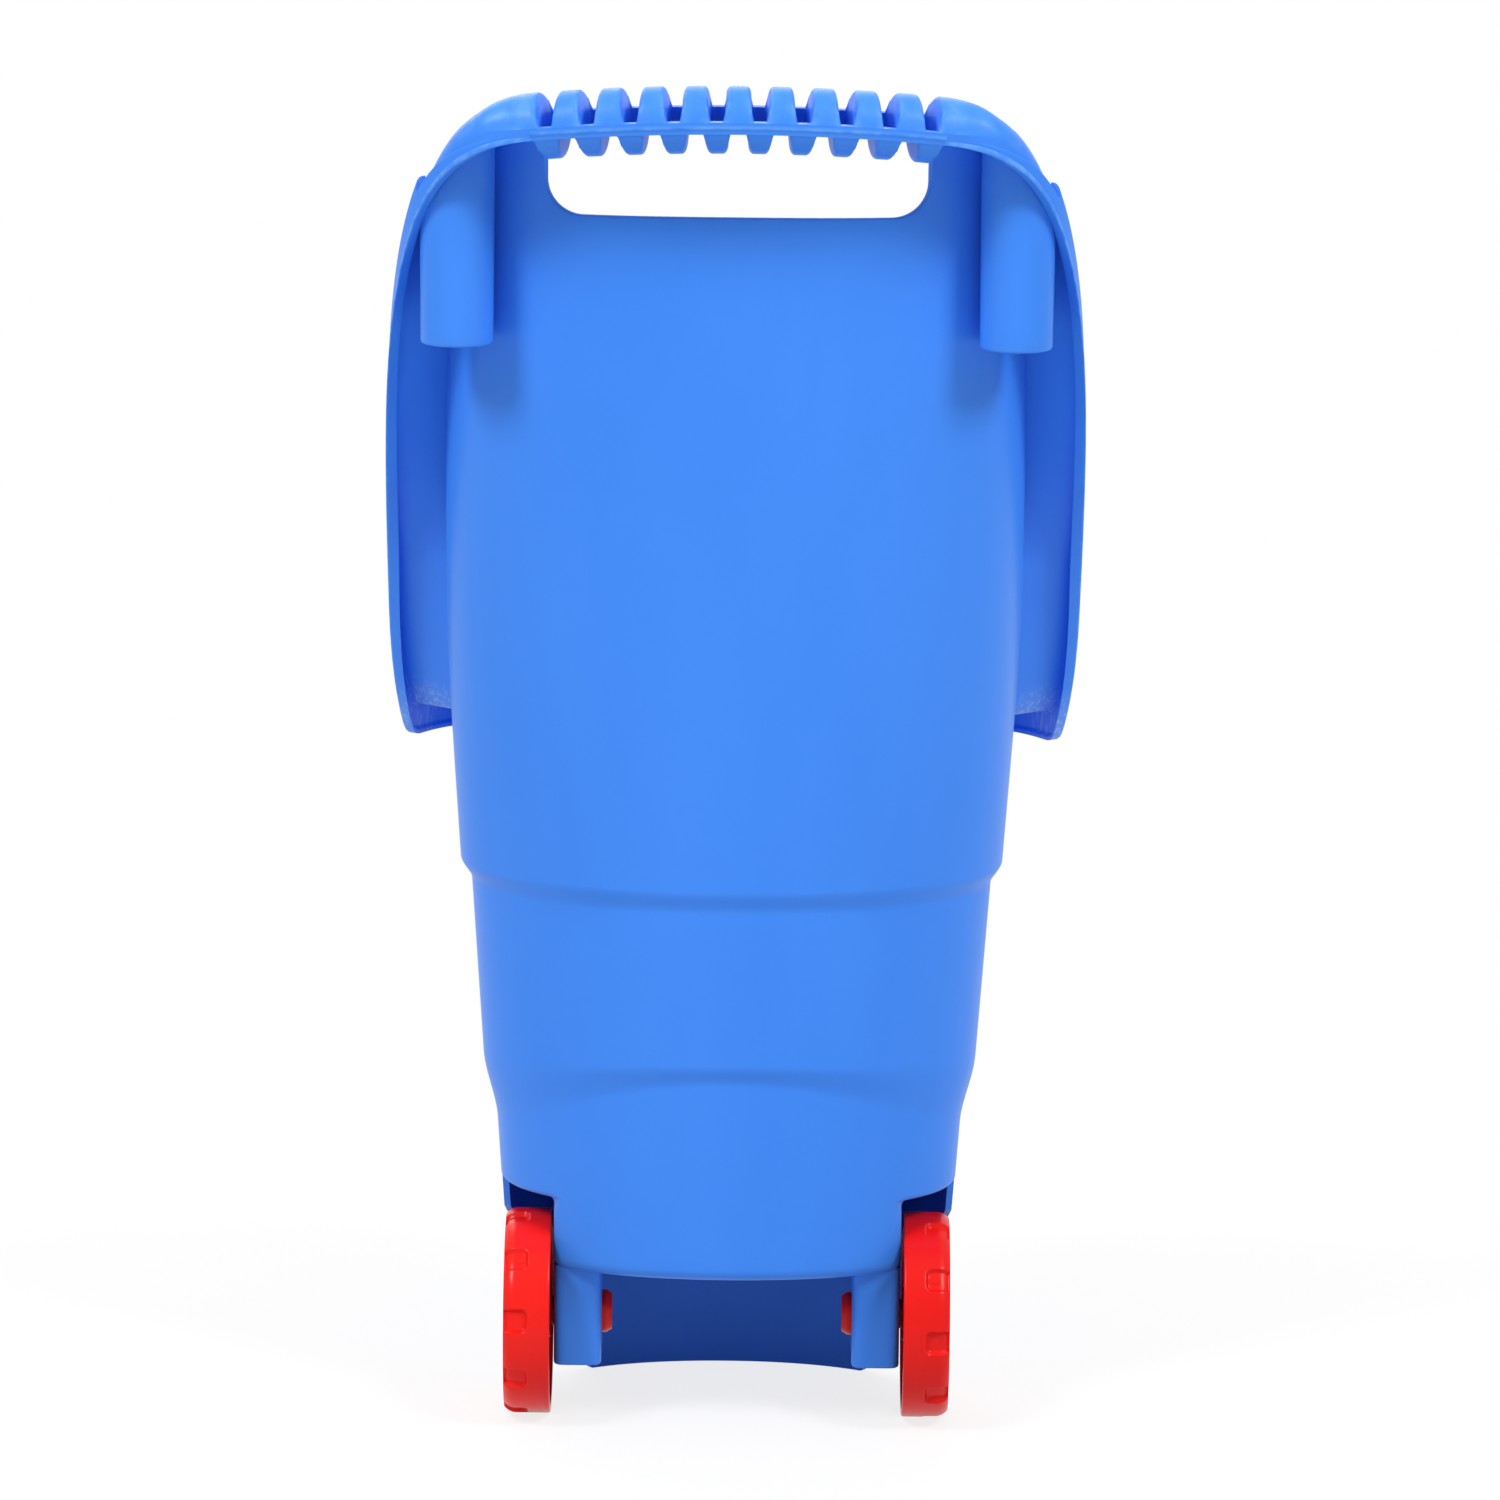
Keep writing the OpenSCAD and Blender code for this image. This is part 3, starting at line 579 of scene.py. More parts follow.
def handle_frame(bar):
    """Slope of the bar's plane, its radius of bow and half its length along the bow."""
    sag = math.hypot(bar.bow, bar.rise)
    radius = (bar.half ** 2 + sag ** 2) / (2 * sag)
    return math.atan2(bar.rise, bar.bow), radius, radius * math.asin(bar.half / radius)


def bow_angle(bar, x, y, z):
    """Angle of a point along the bar's bow, seen from the bow's centre."""
    plane, radius, _ = handle_frame(bar)
    depth = (y + bar.back) * math.cos(plane) - (z - bar.height) * math.sin(plane)
    return np.arctan2(np.abs(x), radius - depth)


def bow_start(bar, curve):
    """Angle in plan at which a curve round the trolley meets the end of the handle bar."""
    turn = np.linspace(*BOW_SEARCH)
    x, y = curve(turn)
    _, radius, half = handle_frame(bar)
    return float(np.interp(half / radius, bow_angle(bar, x, y, bar.height), turn))


def bar_place(bar, x, u, v):
    """Places a point of the bar's section, u to the back and v up, at x along the bowed bar."""
    plane, radius, _ = handle_frame(bar)
    turn = -(plane + bar.lean)
    out = u * math.cos(turn) - v * math.sin(turn)
    up = u * math.sin(turn) + v * math.cos(turn)
    along = x / radius + BACK
    depth = radius + (radius + out) * np.sin(along)
    return np.stack([
        (radius + out) * np.cos(along),
        depth * math.cos(plane) + up * math.sin(plane) - bar.back,
        -depth * math.sin(plane) + up * math.cos(plane) + bar.height], -1)


def bar_section(bar, x, radius, over, rest):
    """The bar's outline at places x along it: an arch of over points, then rest points down its back."""
    sweep = np.linspace(math.pi, 0, over)
    fall = np.linspace(0.5, -0.5, rest) * bar.band
    arch = np.maximum(radius * np.sin(sweep), bar.band / 2 - (bar.radius - radius))
    u = np.concatenate([radius * np.cos(sweep), np.full(rest, radius)])
    v = np.concatenate([arch, np.minimum(fall, arch[-1])])
    return bar_place(bar, x + 0 * u, u + 0 * x, v + 0 * x)


# Tub

def tub_columns(tub):
    """Angles round the plan, with extra ones at the hand hole's corners and its upright sides."""
    corner = tub.hole_half - tub.hole_round + tub.hole_round * np.sin(quarter(12))
    beyond = tub.hole_half + np.array(HOLE_LINES)
    cosine = (np.concatenate([corner, beyond]) / (tub.top_w / 2)) ** (tub.top_square / 2)
    extra = np.arccos(cosine)
    even = np.linspace(-math.pi, math.pi, tub.columns, endpoint=False)
    return np.unique(np.concatenate([even, -extra, extra - math.pi]))


def tub_mouth(tub, rim, bar, turn):
    """Top of the wall: just under the rim's top, and down to the hand hole's edge at the back."""
    x = np.abs(tub.top_w / 2 * signed_pow(np.cos(turn), 2 / tub.top_square))
    past = np.clip(x - (tub.hole_half - tub.hole_round), 0, tub.hole_round)
    hole = tub.hole_z + tub.hole_round - np.sqrt(tub.hole_round ** 2 - past ** 2)
    in_hole = (np.sin(turn) < 0) & (x < tub.hole_half + HAIR)
    sunk = rim.plate / 4 + rim.end_drop * shoulder_end(rim, bar, turn)
    return np.where(in_hole, hole, rim_top(tub, rim, turn) - sunk)


def tub_side(tub, fit, turn, top, inset):
    """Rows up one face of the tub: rounded bottom, arch roof, two steps, and up to the mouth."""
    bend = quarter()[:, None]
    side = np.cos(turn) ** 2
    floor, well = tub.floor_z + inset, tub.well_z + inset
    sump, fillet, edge = tub.sump_w / 2, tub.arch_fillet, tub.arch_edge
    low_foot = tub.low_step_z - tub.step_drop * side
    low_head = tub.low_step_z + tub.step_rise - tub.step_rise * side
    high_foot = np.full_like(turn, tub.high_step_z)
    high_head = high_foot + tub.step_rise
    rows = []

    def add(z, steps=0.0, trim=0.0, limit=math.inf, shrink=0.0):
        z = z + np.zeros((1, turn.size))
        wide, depth = tub_wall(tub, turn, z, steps, inset)
        outside = smooth((np.abs(wide) - sump + fillet) / (2 * fillet))
        apron = smooth((depth - fit.apron_start + fillet) / (2 * fillet))
        x, y = tub_wall(tub, turn, z, steps, inset, trim, shrink * outside * (1 - apron))
        held = np.abs(x)
        if np.all(np.isfinite(limit)):
            held = soft_min(held, limit - inset - trim + 0 * x, tub.wall / 3)
        rows.append(np.stack([np.sign(x) * held, y, z], -1))

    def between(low, high, number, first, last):
        share = np.linspace(0, 1, number)[:, None]
        add(low + (high - low) * share, first + (last - first) * smooth(share))

    add(floor + tub.bottom_round * (1 - np.cos(bend)), trim=tub.bottom_round * (1 - np.sin(bend)), limit=sump)
    add(np.linspace(floor + tub.bottom_round, well - fillet, 8)[1:-1, None], limit=sump)
    add(well - fillet + fillet * np.sin(bend), limit=sump + fillet * (1 - np.cos(bend)), shrink=edge)
    spread = np.linspace(sump + fillet, tub.base_w / 2 + fillet, 9)[1:, None]
    add(np.full_like(spread, well), limit=spread, shrink=edge)
    add(well + edge * (1 - np.cos(bend)), shrink=edge * (1 - np.sin(bend)))
    between(well + edge, low_foot, 8, 0, 0)
    between(low_foot, low_head, 14, 0, 1)
    between(low_head, high_foot, 8, 1, 1)
    between(high_foot, high_head, 14, 1, 2)
    between(high_head, top - tub.wall / 2, 36, 2, 2)
    return np.concatenate(rows)


def tub_solid(tub, rim, bar, fit):
    """Outer face, a half-round lip over the mouth, and the inner face, closed in the middle of the bottom."""
    turn = tub_columns(tub)
    top = tub_mouth(tub, rim, bar, turn)
    outer = tub_side(tub, fit, turn, top, 0.0)
    inner = tub_side(tub, fit, turn, top, tub.wall)
    lip = np.linspace(0, math.pi, 9)[1:-1, None]
    z = top - tub.wall / 2 + tub.wall / 2 * np.sin(lip)
    x, y = tub_wall(tub, turn, z, 2, tub.wall / 2 * (1 - np.cos(lip)))
    shares = inner_shares(4)[:, None, None]
    pole, pit = outer[0].mean(axis=0), inner[0].mean(axis=0)
    under = pole + (outer[0] - pole) * shares
    inside = pit + (inner[0] - pit) * shares
    return capped_tube(np.concatenate([under, outer, np.stack([x, y, z], -1), inner[::-1], inside[::-1]]))


# Rim and shoulders

def shoulder_start(rim, bar):
    """Angle in plan at which a shoulder's outer line meets the end of the handle."""
    return bow_start(bar, lambda turn: rim_line(rim, turn, rim.shoulder_step))


def shoulder_end(rim, bar, turn):
    """1 where a shoulder meets the handle, falling to 0 a little way along it."""
    along = (turn + QUARTER) % FULL - QUARTER
    from_end = np.minimum(along, math.pi - along) - shoulder_start(rim, bar)
    return smooth(1 - from_end / rim.end_run)


def rim_turns(tub, rim, start):
    """Angles in plan of the rim's sections: evenly spaced along it, and close together at each ledge."""
    even = even_turns(lambda turn: (*rim_line(rim, turn, 0.0), rim_top(tub, rim, turn)),
                      start, math.pi - start, rim.sections)
    ledge = -rim.shoulder_angle + rim.ledge_run * np.linspace(*LEDGE_LINES)
    return np.unique(np.concatenate([even, ledge, math.pi - ledge]))


def rim_section(tub, rim, top, reach, corner, to_grip):
    """Outer and inner face of the rim's sections, the number of points over the top, and the wear.

    Outside, a section has a round lip, the flat plate, a round corner, a straight drop, a ramp, the band and
    a bead that swells at the lower edge. Each run of a face is its distances from the tub, its heights, and
    the share of the band's offset that its points take.
    """
    lip = np.linspace(math.pi, QUARTER, 6)
    flat, drop = inner_shares(3), inner_shares(5)
    bend = np.linspace(1, 0, 14)
    ramp = QUARTER * np.linspace(0, 1, 7)
    bead = np.linspace(0, 1, 11)
    swell = (1 - np.abs(2 * bead - 1) ** 3) ** 0.5
    edge = top - rim.height
    skirt_top = top - corner
    bead_top = edge + rim.bead_h
    bead_z = bead_top + (edge - bead_top) * bead
    band_top = bead_top + (rim.band_h - rim.bead_h) * ((1 - to_grip) ** rim.band_fade)[:, None]
    lowest = np.arcsin(np.clip((band_top - skirt_top) / corner, 0, 1))
    turned = lowest + (QUARTER - lowest) * bend
    bend_a = reach - corner + corner * np.cos(turned)
    bend_z = skirt_top + corner * np.sin(turned)
    low_a, low_z = bend_a[:, -1:], bend_z[:, -1:]
    ramp_top = np.minimum(low_z, band_top)
    ramp_end = np.maximum(ramp_top - rim.band_edge, bead_top)
    ramp_a = low_a + (reach - low_a) * np.sin(ramp)
    ramp_z = ramp_top + (ramp_end - ramp_top) * (1 - np.cos(ramp))
    outer = joined([
        (rim.lip + rim.lip * np.cos(lip), top - rim.lip + rim.lip * np.sin(lip), 0 * lip),
        (rim.lip + (reach - corner - rim.lip) * flat, top + 0 * flat, 0 * flat),
        (bend_a, bend_z, 0 * bend),
        (low_a + 0 * drop, low_z + (ramp_top - low_z) * drop, 0 * drop),
        (ramp_a, ramp_z, np.sin(ramp)),
        (reach + 0 * drop, ramp_end + (bead_top - ramp_end) * drop, 1 + 0 * drop),
        (reach + rim.bead_out * swell, bead_z, 1 + 0 * bead)], reach, 1)
    plate = lip.size + flat.size
    hollow = corner - tub.wall
    roof = top - np.maximum(corner, rim.plate + hollow)
    under = np.linspace(0, 1, drop.size + ramp.size + drop.size)
    inner = joined([
        (outer[0][:, :plate], outer[1][:, :plate] - rim.plate, np.zeros(plate)),
        (reach - corner + hollow * np.cos(QUARTER * bend), roof + hollow * np.sin(QUARTER * bend), 0 * bend),
        (reach - tub.wall + 0 * under, roof + (bead_top - roof) * under, smooth(2 * under)),
        (reach - tub.wall - rim.bead_in * smooth(2 * bead), bead_z, 1 + 0 * bead)], reach, 1)
    rubbed = rim.corner_wear * np.sin(math.pi * bend)
    worn = np.concatenate([np.zeros(plate), rubbed, np.zeros(under.size), swell])
    return outer, inner, plate + bend.size, worn


def rim_solid(tub, rim, bar):
    """The rim's section carried from one end of the handle to the other, and a wear mark for each point.

    Towards each end the section is mixed with the handle's own, which goes on along its bow.
    """
    start = shoulder_start(rim, bar)
    start_in = bow_start(bar, lambda turn: tub_wall(tub, turn, tub.edge_back_z, 2, tub.wall))
    turn = rim_turns(tub, rim, start)
    from_end = np.minimum(turn, math.pi - turn)
    side = np.where(turn < QUARTER, 1.0, -1.0)
    stepped = smooth((from_end + rim.shoulder_angle) / rim.ledge_run + 0.5)
    corner = (rim.shoulder_round + (rim.corner - rim.shoulder_round) * stepped)[:, None]
    to_grip = np.clip((-rim.shoulder_angle - from_end) / (-rim.shoulder_angle - start), 0, 1)
    drawn_to = turn + side * (start_in - start) * smooth(to_grip)
    top = rim_top(tub, rim, turn)
    out_x, out_y = rim_line(rim, turn, rim.shoulder_step * (1 - stepped))
    in_x, in_y = tub_wall(tub, drawn_to, top, 2, tub.wall + rim.lip / 3)
    reach = np.hypot(out_x - in_x, out_y - in_y)[:, None]
    along = np.stack([out_x - in_x, out_y - in_y], -1) / reach
    band_out = (rim_line(rim, turn, 0.0)[0] - out_x) * (1 - to_grip)
    outer_face, inner_face, over, worn = rim_section(tub, rim, top[:, None], reach, corner, to_grip)

    def laid(a, z, out):
        x = in_x[:, None] + along[:, :1] * a + band_out[:, None] * out
        return np.stack([x, in_y[:, None] + along[:, 1:] * a, z], -1)

    run = path_run(np.stack([out_x, out_y], -1))
    from_grip = np.minimum(run, run[-1] - run)
    mixed = smooth(1 - from_grip / rim.end_len)[:, None, None]
    _, _, half = handle_frame(bar)
    spot = (side * (half + np.minimum(from_grip, rim.end_len)))[:, None]
    outer, inner = laid(*outer_face), laid(*inner_face)
    rest = worn.size - over
    outer += (bar_section(bar, spot, bar.radius, over, rest) - outer) * mixed
    inner += (bar_section(bar, spot, bar.radius - tub.wall, over, rest) - inner) * mixed
    marks = np.tile(np.concatenate([worn, np.zeros(worn.size)]), turn.size)
    return shell_solid(outer, inner), marks


# Handle

def nearest(x, places):
    """Distance from each x to the nearest of some places."""
    return np.abs(x[:, None] - places[None, :]).min(axis=1)


def cell_share(x, places, size, edge, draft, radius):
    """1 on a rib, 0 between ribs: a flat top, a rounded edge and a slightly sloping side."""
    bend = quarter(8)
    run = np.concatenate([[0], size / 2 - edge + edge * np.sin(bend), [size / 2 + draft]])
    rise = np.concatenate([[1], 1 - edge / radius * (1 - np.cos(bend)), [0]])
    return np.interp(nearest(x, places), run, rise)


def cell_stops(places, size, edge, draft):
    """Places along the bar at which a row of ribs needs a line of points."""
    rounded = size / 2 - edge + edge * np.sin(quarter(6))
    offsets = np.concatenate([rounded, size / 2 + draft * np.array(SLOPE_LINES)])
    stops = places[:, None] + np.concatenate([-offsets, [0], offsets])[None, :]
    return stops.ravel()


def grip_heights(bar, u, over, under):
    """Upper and lower face over the section: arches on ribs and lugs, else slots and pockets, a web apart."""
    hollow = bar.radius - bar.wall
    arch = np.maximum(np.sqrt(np.clip(bar.radius ** 2 - u ** 2, 0, None)), bar.band / 2)
    vault = np.sqrt(np.clip(hollow ** 2 - u ** 2, 0, None))
    walled = np.abs(u) > hollow
    slot = np.where(walled, bar.band / 2, -vault)
    pocket = np.where(walled, -bar.band / 2, vault)
    upper = slot + (arch - slot) * over
    lower = pocket + (-arch - pocket) * under
    web = bar.wall / 2
    crossing = upper - lower < 2 * web
    middle = (upper + lower) / 2
    return np.where(crossing, middle + web, upper), np.where(crossing, middle - web, lower)


def handle_solid(bar):
    """Upper face of ribs and slots, lower face of lugs and pockets, and a band with a bead between them."""
    _, _, half = handle_frame(bar)
    ribs = (np.arange(bar.rib_count + 2) - (bar.rib_count + 1) / 2) * bar.rib_pitch
    lugs = (np.arange(bar.rib_count + 1) - bar.rib_count / 2) * bar.rib_pitch
    rib_row = (ribs, bar.rib_len, bar.rib_round, bar.rib_draft)
    lug_row = (lugs, bar.lug_len, bar.lug_round, bar.rib_draft)
    stops = np.concatenate([cell_stops(*rib_row), cell_stops(*lug_row), [-half, half]])
    x = np.unique(np.round(stops[np.abs(stops) <= half], 7))
    over = cell_share(x, *rib_row, bar.radius)[:, None]
    under = cell_share(x, *lug_row, bar.radius)[:, None]
    hollow = bar.radius - bar.wall
    across = np.cos(np.linspace(math.pi, 0, 41))
    u = np.unique(np.concatenate([bar.radius * across, hollow * across, hollow * np.array(SLOT_LINES)]))
    upper, lower = grip_heights(bar, u, over, under)
    share = inner_shares(7)
    swell = np.exp(-((share - bar.bead_place) / bar.bead_spread) ** 2)
    bead_v = upper[:, -1:] + (lower[:, -1:] - upper[:, -1:]) * share
    along = x[:, None]
    top = bar_place(bar, along, u + 0 * upper, upper)
    face = bar_place(bar, along, bar.radius + bar.bead * swell + 0 * bead_v, bead_v)
    bottom = bar_place(bar, along, u + 0 * lower, lower)
    points = np.concatenate([top, face, bottom[:, ::-1]], axis=1)
    rows, columns = points.shape[:2]
    nose = np.arange(u.size - 1, u.size + share.size + 1)[None, :]
    noses = [nose, nose[:, ::-1] + (rows - 1) * columns]
    groups = [grid_quads(rows, columns, True), *folded_ends(u.size, rows, columns), *noses]
    edge = np.exp(-((nearest(x, ribs) - bar.rib_len / 2) / bar.rib_round) ** 2)
    worn = np.zeros((rows, columns))
    worn[:, :u.size] = edge[:, None] * bar.rib_wear
    worn[:, u.size:u.size + share.size] = swell
    return (points.reshape(-1, 3), groups), worn.ravel()


# Fittings

def plate_height(tub, rim, x, y):
    """Height of a shoulder over points in plan: flat, then a round corner, in the section through each."""
    turn = np.linspace(*PLATE_SEARCH)
    out_x, out_y = rim_line(rim, turn, rim.shoulder_step)
    top = rim_top(tub, rim, turn)
    in_x, in_y = tub_wall(tub, turn, top, 2, 0.0)
    aside = (out_x - in_x) * (y[:, None] - in_y) - (out_y - in_y) * (x[:, None] - in_x)
    near = np.abs(aside).argmin(axis=1)
    short = np.hypot(out_x[near] - x, out_y[near] - y)
    past = np.clip(rim.shoulder_round - short, 0, rim.shoulder_round)
    return top[near] - rim.shoulder_round + np.sqrt(rim.shoulder_round ** 2 - past ** 2)


def socket_solid(fit, tub, rim, side):
    """A tapered tube with a closed rounded end and a bore, its mouth following the shoulder's slope."""
    turn = circle(TUBE_POINTS)
    bend = quarter()[:, None]
    rise = inner_shares(10)[:, None]
    spread = np.linspace(0.1, 0.9, 5)[:, None]
    edge = fit.socket_round
    end, wide, bore = fit.socket_end_d / 2, fit.socket_top_d / 2, fit.socket_bore_d / 2
    low = fit.socket_end_z
    floor = low + tub.wall
    rim_x = fit.socket_x + wide * np.cos(turn)
    rim_y = -fit.socket_back + wide * np.sin(turn)
    high = plate_height(tub, rim, rim_x, rim_y) + fit.socket_lip
    radius, z = joined([
        ((end - edge) * spread, low + 0 * spread),
        (end - edge + edge * np.sin(bend), low + edge - edge * np.cos(bend)),
        (end + (wide - end) * rise, low + edge + (high - low - 2 * edge) * rise),
        (wide - edge + edge * np.cos(bend), high - edge + edge * np.sin(bend)),
        (bore + edge - edge * np.sin(bend), high - edge + edge * np.cos(bend)),
        (bore + 0 * rise, high - edge + (floor - high + 2 * edge) * rise),
        (bore - edge + edge * np.cos(bend), floor + edge - edge * np.sin(bend)),
        ((bore - edge) * spread[::-1], floor + 0 * spread)], turn, 0)
    x = side * (fit.socket_x + radius * np.cos(turn))
    return capped_tube(np.stack([x, -fit.socket_back + radius * np.sin(turn), z], -1))


def socket_cutter(fit, tub, side):
    """A plain column a little slimmer than a tool socket, to open the shoulder for its bore."""
    ends = (tub.hole_z - tub.hole_half, tub.edge_back_z + tub.hole_half)
    middle = (side * fit.socket_x, -fit.socket_back, 0)
    return column(middle, fit.socket_top_d / 2 - fit.socket_inset, 2, ends, TUBE_POINTS)


def post_cutter(fit, side):
    """A level column through a post, for the pin to turn in."""
    ends = (side * (fit.post_x - fit.post_w), side * (fit.post_x + fit.post_w))
    return column((0, 0, fit.arch_z), fit.post_bore_r, 0, ends, BORE_POINTS)


def post_loop(fit, inset):
    """Plan of an axle post drawn in by inset: a flat back with round edges, and a square front."""
    half = fit.post_w / 2
    side = half - inset
    hub, face, front = half - fit.post_back, inset - fit.post_back, fit.post_front - inset
    arc = np.linspace(math.pi, FULL, 33)
    back_x = side * signed_pow(np.cos(arc), fit.post_square)
    back_y = hub + (face - hub) * np.abs(np.sin(arc)) ** fit.post_square
    up = np.linspace(hub, front, 12)[1:]
    over = np.linspace(side, -side, 10)[1:]
    x = np.concatenate([back_x, np.full(up.size, side), over, np.full(up.size - 1, -side)])
    y = np.concatenate([back_y, up, np.full(over.size, front), up[::-1][1:]])
    return x, y


def post_solid(fit, tub, side):
    """An axle post, hollow from below: rings down its outside, round its lower edge and up a pocket."""
    edge = fit.post_round
    bend = quarter(5)
    top = tub.floor_z + tub.wall / 2
    outside = np.array([top, (top + fit.post_z) / 2, fit.post_z + edge])
    pocket = np.linspace(fit.post_z, tub.floor_z - tub.wall, 4)
    insets = np.concatenate([0 * outside, edge * (1 - np.cos(bend)), tub.wall + 0 * pocket])
    heights = np.concatenate([outside, fit.post_z + edge * (1 - np.sin(bend)), pocket])
    rings = []
    for inset, z in zip(insets, heights):
        x, y = post_loop(fit, inset)
        rings.append(np.stack([side * fit.post_x + x, y, np.full(x.size, z)], -1))
    return capped_tube(np.stack(rings))


def foot_solid(fit, tub):
    """The front wall carried down, drawn in at the sides: a foot in the middle, an arch over each wheel."""
    even = even_turns(lambda t: tub_wall(tub, t, tub.well_z, 0, 0.0), 0.0, math.pi, fit.foot_columns)
    middle, deep = (tub.base_front - tub.base_back) / 2, (tub.base_front + tub.base_back) / 2
    power = tub.bottom_square / 2
    gap = HAIR * np.array([-1, 1])
    at_arch = np.arcsin(((fit.arch_r - middle + gap) / deep) ** power)
    turn = np.unique(np.concatenate([even, at_arch, math.pi - at_arch]))
    wide, depth = tub_wall(tub, turn, tub.well_z, 0, 0.0)
    kept = depth > fit.apron_start
    turn, side, depth = turn[kept], np.abs(wide[kept]), depth[kept]
    share = np.linspace(0, 1, fit.foot_rows)
    over = fit.arch_z + np.sqrt(np.clip(fit.arch_r ** 2 - depth ** 2, 0, None))
    beside = fit.foot_side_z * smooth((side - fit.foot_w / 2) / fit.foot_ease)
    low = np.where(depth < fit.arch_r, over, beside)[:, None]
    z = low + (tub.well_z - low) * share
    drawn_in = 1 - (tub.well_z - z) * math.tan(tub.side_draft) / (tub.base_w / 2)

    def face(inset):
        x, y = tub_wall(tub, turn, tub.well_z, 0, inset)
        return np.stack([x[:, None] * drawn_in, y[:, None] + 0 * z, z], -1)

    return shell_solid(face(0.0), face(tub.wall))


# Wheels

def wheel_profile(wheel):
    """Closed section of the wheel as radius and depth from its inner side, with rounded edges."""
    edge, curve = wheel.edge, wheel.shoulder
    rim_in = wheel.radius - wheel.tread
    disc_out = wheel.width - wheel.disc_in
    disc_back = disc_out - wheel.disc

    def arc(r, w, size, first, last):
        turn = np.linspace(first, last, ROUND_POINTS)
        return np.stack([r + size * np.cos(turn), w + size * np.sin(turn)], -1)

    def run(r0, w0, r1, w1, number):
        return np.array([r0, w0]) + inner_shares(number)[:, None] * np.array([r1 - r0, w1 - w0])

    turned = math.acos((rim_in + edge - wheel.radius + curve) / curve)
    lip_w = wheel.width - curve + curve * math.sin(turned)
    return np.concatenate([
        arc(wheel.hub_r - edge, edge, edge, -QUARTER, 0),
        arc(wheel.hub_r + edge, disc_back - edge, edge, math.pi, QUARTER),
        run(wheel.hub_r + edge, disc_back, rim_in - edge, disc_back, 8),
        arc(rim_in - edge, disc_back - edge, edge, QUARTER, 0),
        run(rim_in, disc_back - edge, rim_in, edge, 6),
        arc(rim_in + edge, edge, edge, math.pi, 1.5 * math.pi),
        arc(wheel.radius - edge, edge, edge, -QUARTER, 0),
        run(wheel.radius, edge, wheel.radius, wheel.width - curve, 38),
        arc(wheel.radius - curve, wheel.width - curve, curve, 0, turned),
        arc(rim_in + edge, lip_w - edge, edge, QUARTER, math.pi),
        run(rim_in, lip_w - edge, rim_in, disc_out + edge, 3),
        arc(rim_in - edge, disc_out + edge, edge, 0, -QUARTER),
        run(rim_in - edge, disc_out, wheel.bore_r, disc_out, 10),
        run(wheel.bore_r, disc_out, wheel.bore_r, 0.0, 4)])


def notch_press(wheel, across, depth):
    """How deep the tread is pressed in: full in a rounded rectangle, with a smooth slope round it."""
    beside = np.abs(across) - wheel.notch_w / 2 + wheel.notch_round
    behind = wheel.width - wheel.notch_len + wheel.notch_round - depth
    away = np.hypot(np.maximum(beside, 0), np.maximum(behind, 0)) - wheel.notch_round
    away = away + np.minimum(np.maximum(beside, behind), 0)
    return wheel.notch_depth * smooth(0.5 - away / wheel.notch_edge)


def wheel_solid(wheel, side, first):
    """The section turned about the axle, its tread pressed in at each notch, and flat spokes in the cup."""
    pitch = FULL / wheel.notch_count
    fine = np.linspace(*NOTCH_LINES) * wheel.notch_w / wheel.radius
    coarse = np.linspace(fine[-1], pitch + fine[0], 9)[1:-1]
    turn = (first + pitch * np.arange(wheel.notch_count)[:, None] + np.concatenate([fine, coarse])).ravel()
    profile = wheel_profile(wheel)
    radius, depth = profile[:, :1], profile[:, 1:]
    across = ((turn - first + pitch / 2) % pitch - pitch / 2) * wheel.radius
    on_tread = radius > wheel.radius - wheel.tread * wheel.notched_tread
    pressed = notch_press(wheel, across[None, :], depth) * on_tread

    def laid(r, w, t):
        x = side * (wheel.inner_x + w + 0 * t)
        return np.stack([x, -r * np.cos(t), wheel.radius + r * np.sin(t)], -1)

    parts = [ring_solid(laid(radius - pressed, depth, turn[None, :]))]
    loop = circle(32)[None, :]
    half_d = (wheel.width - wheel.disc_in - wheel.disc / 2 - wheel.spoke_z) / 2
    thick = wheel.spoke_t / 2 * signed_pow(np.cos(loop), wheel.spoke_side)
    deep = wheel.spoke_z + half_d + half_d * signed_pow(np.sin(loop), wheel.spoke_end)
    reach = np.linspace(wheel.hub_r - wheel.edge, wheel.radius - wheel.tread / 2, 6)[:, None]
    for number in range(wheel.spoke_count):
        spoke = first + number * FULL / wheel.spoke_count
        parts.append(capped_tube(laid(reach + 0 * loop, deep + 0 * reach, spoke + thick / reach)))
    return parts


# Finishes

def new_node(tree, kind, **settings):
    """A new shader node with its settings."""
    node = tree.nodes.new("ShaderNode" + kind)
    for label, value in settings.items():
        setattr(node, label, value)
    return node


def wire(tree, value, socket):
    """Links an output to a socket, or sets the socket's own value."""
    if isinstance(value, bpy.types.NodeSocket):
        tree.links.new(value, socket)
    else:
        socket.default_value = value


def fed(tree, node, *values):
    """Feeds values or outputs to a node's first inputs and gives its outputs."""
    for socket, value in zip(node.inputs, values):
        wire(tree, value, socket)
    return node.outputs


def sum_node(tree, operation, *values, clamp=False):
    """One arithmetic node on values or outputs."""
    return fed(tree, new_node(tree, "Math", operation=operation, use_clamp=clamp), *values)[0]


def vector_node(tree, operation, *values):
    """One arithmetic node on vectors; gives its two outputs, a vector and a value."""
    return fed(tree, new_node(tree, "VectorMath", operation=operation), *values)


def noise(tree, vector, scale, detail):
    """Soft random values, about 0.5 on average."""
    node = new_node(tree, "TexNoise")
    wire(tree, vector, node.inputs["Vector"])
    wire(tree, scale, node.inputs["Scale"])
    wire(tree, detail, node.inputs["Detail"])
    return node.outputs["Fac"]


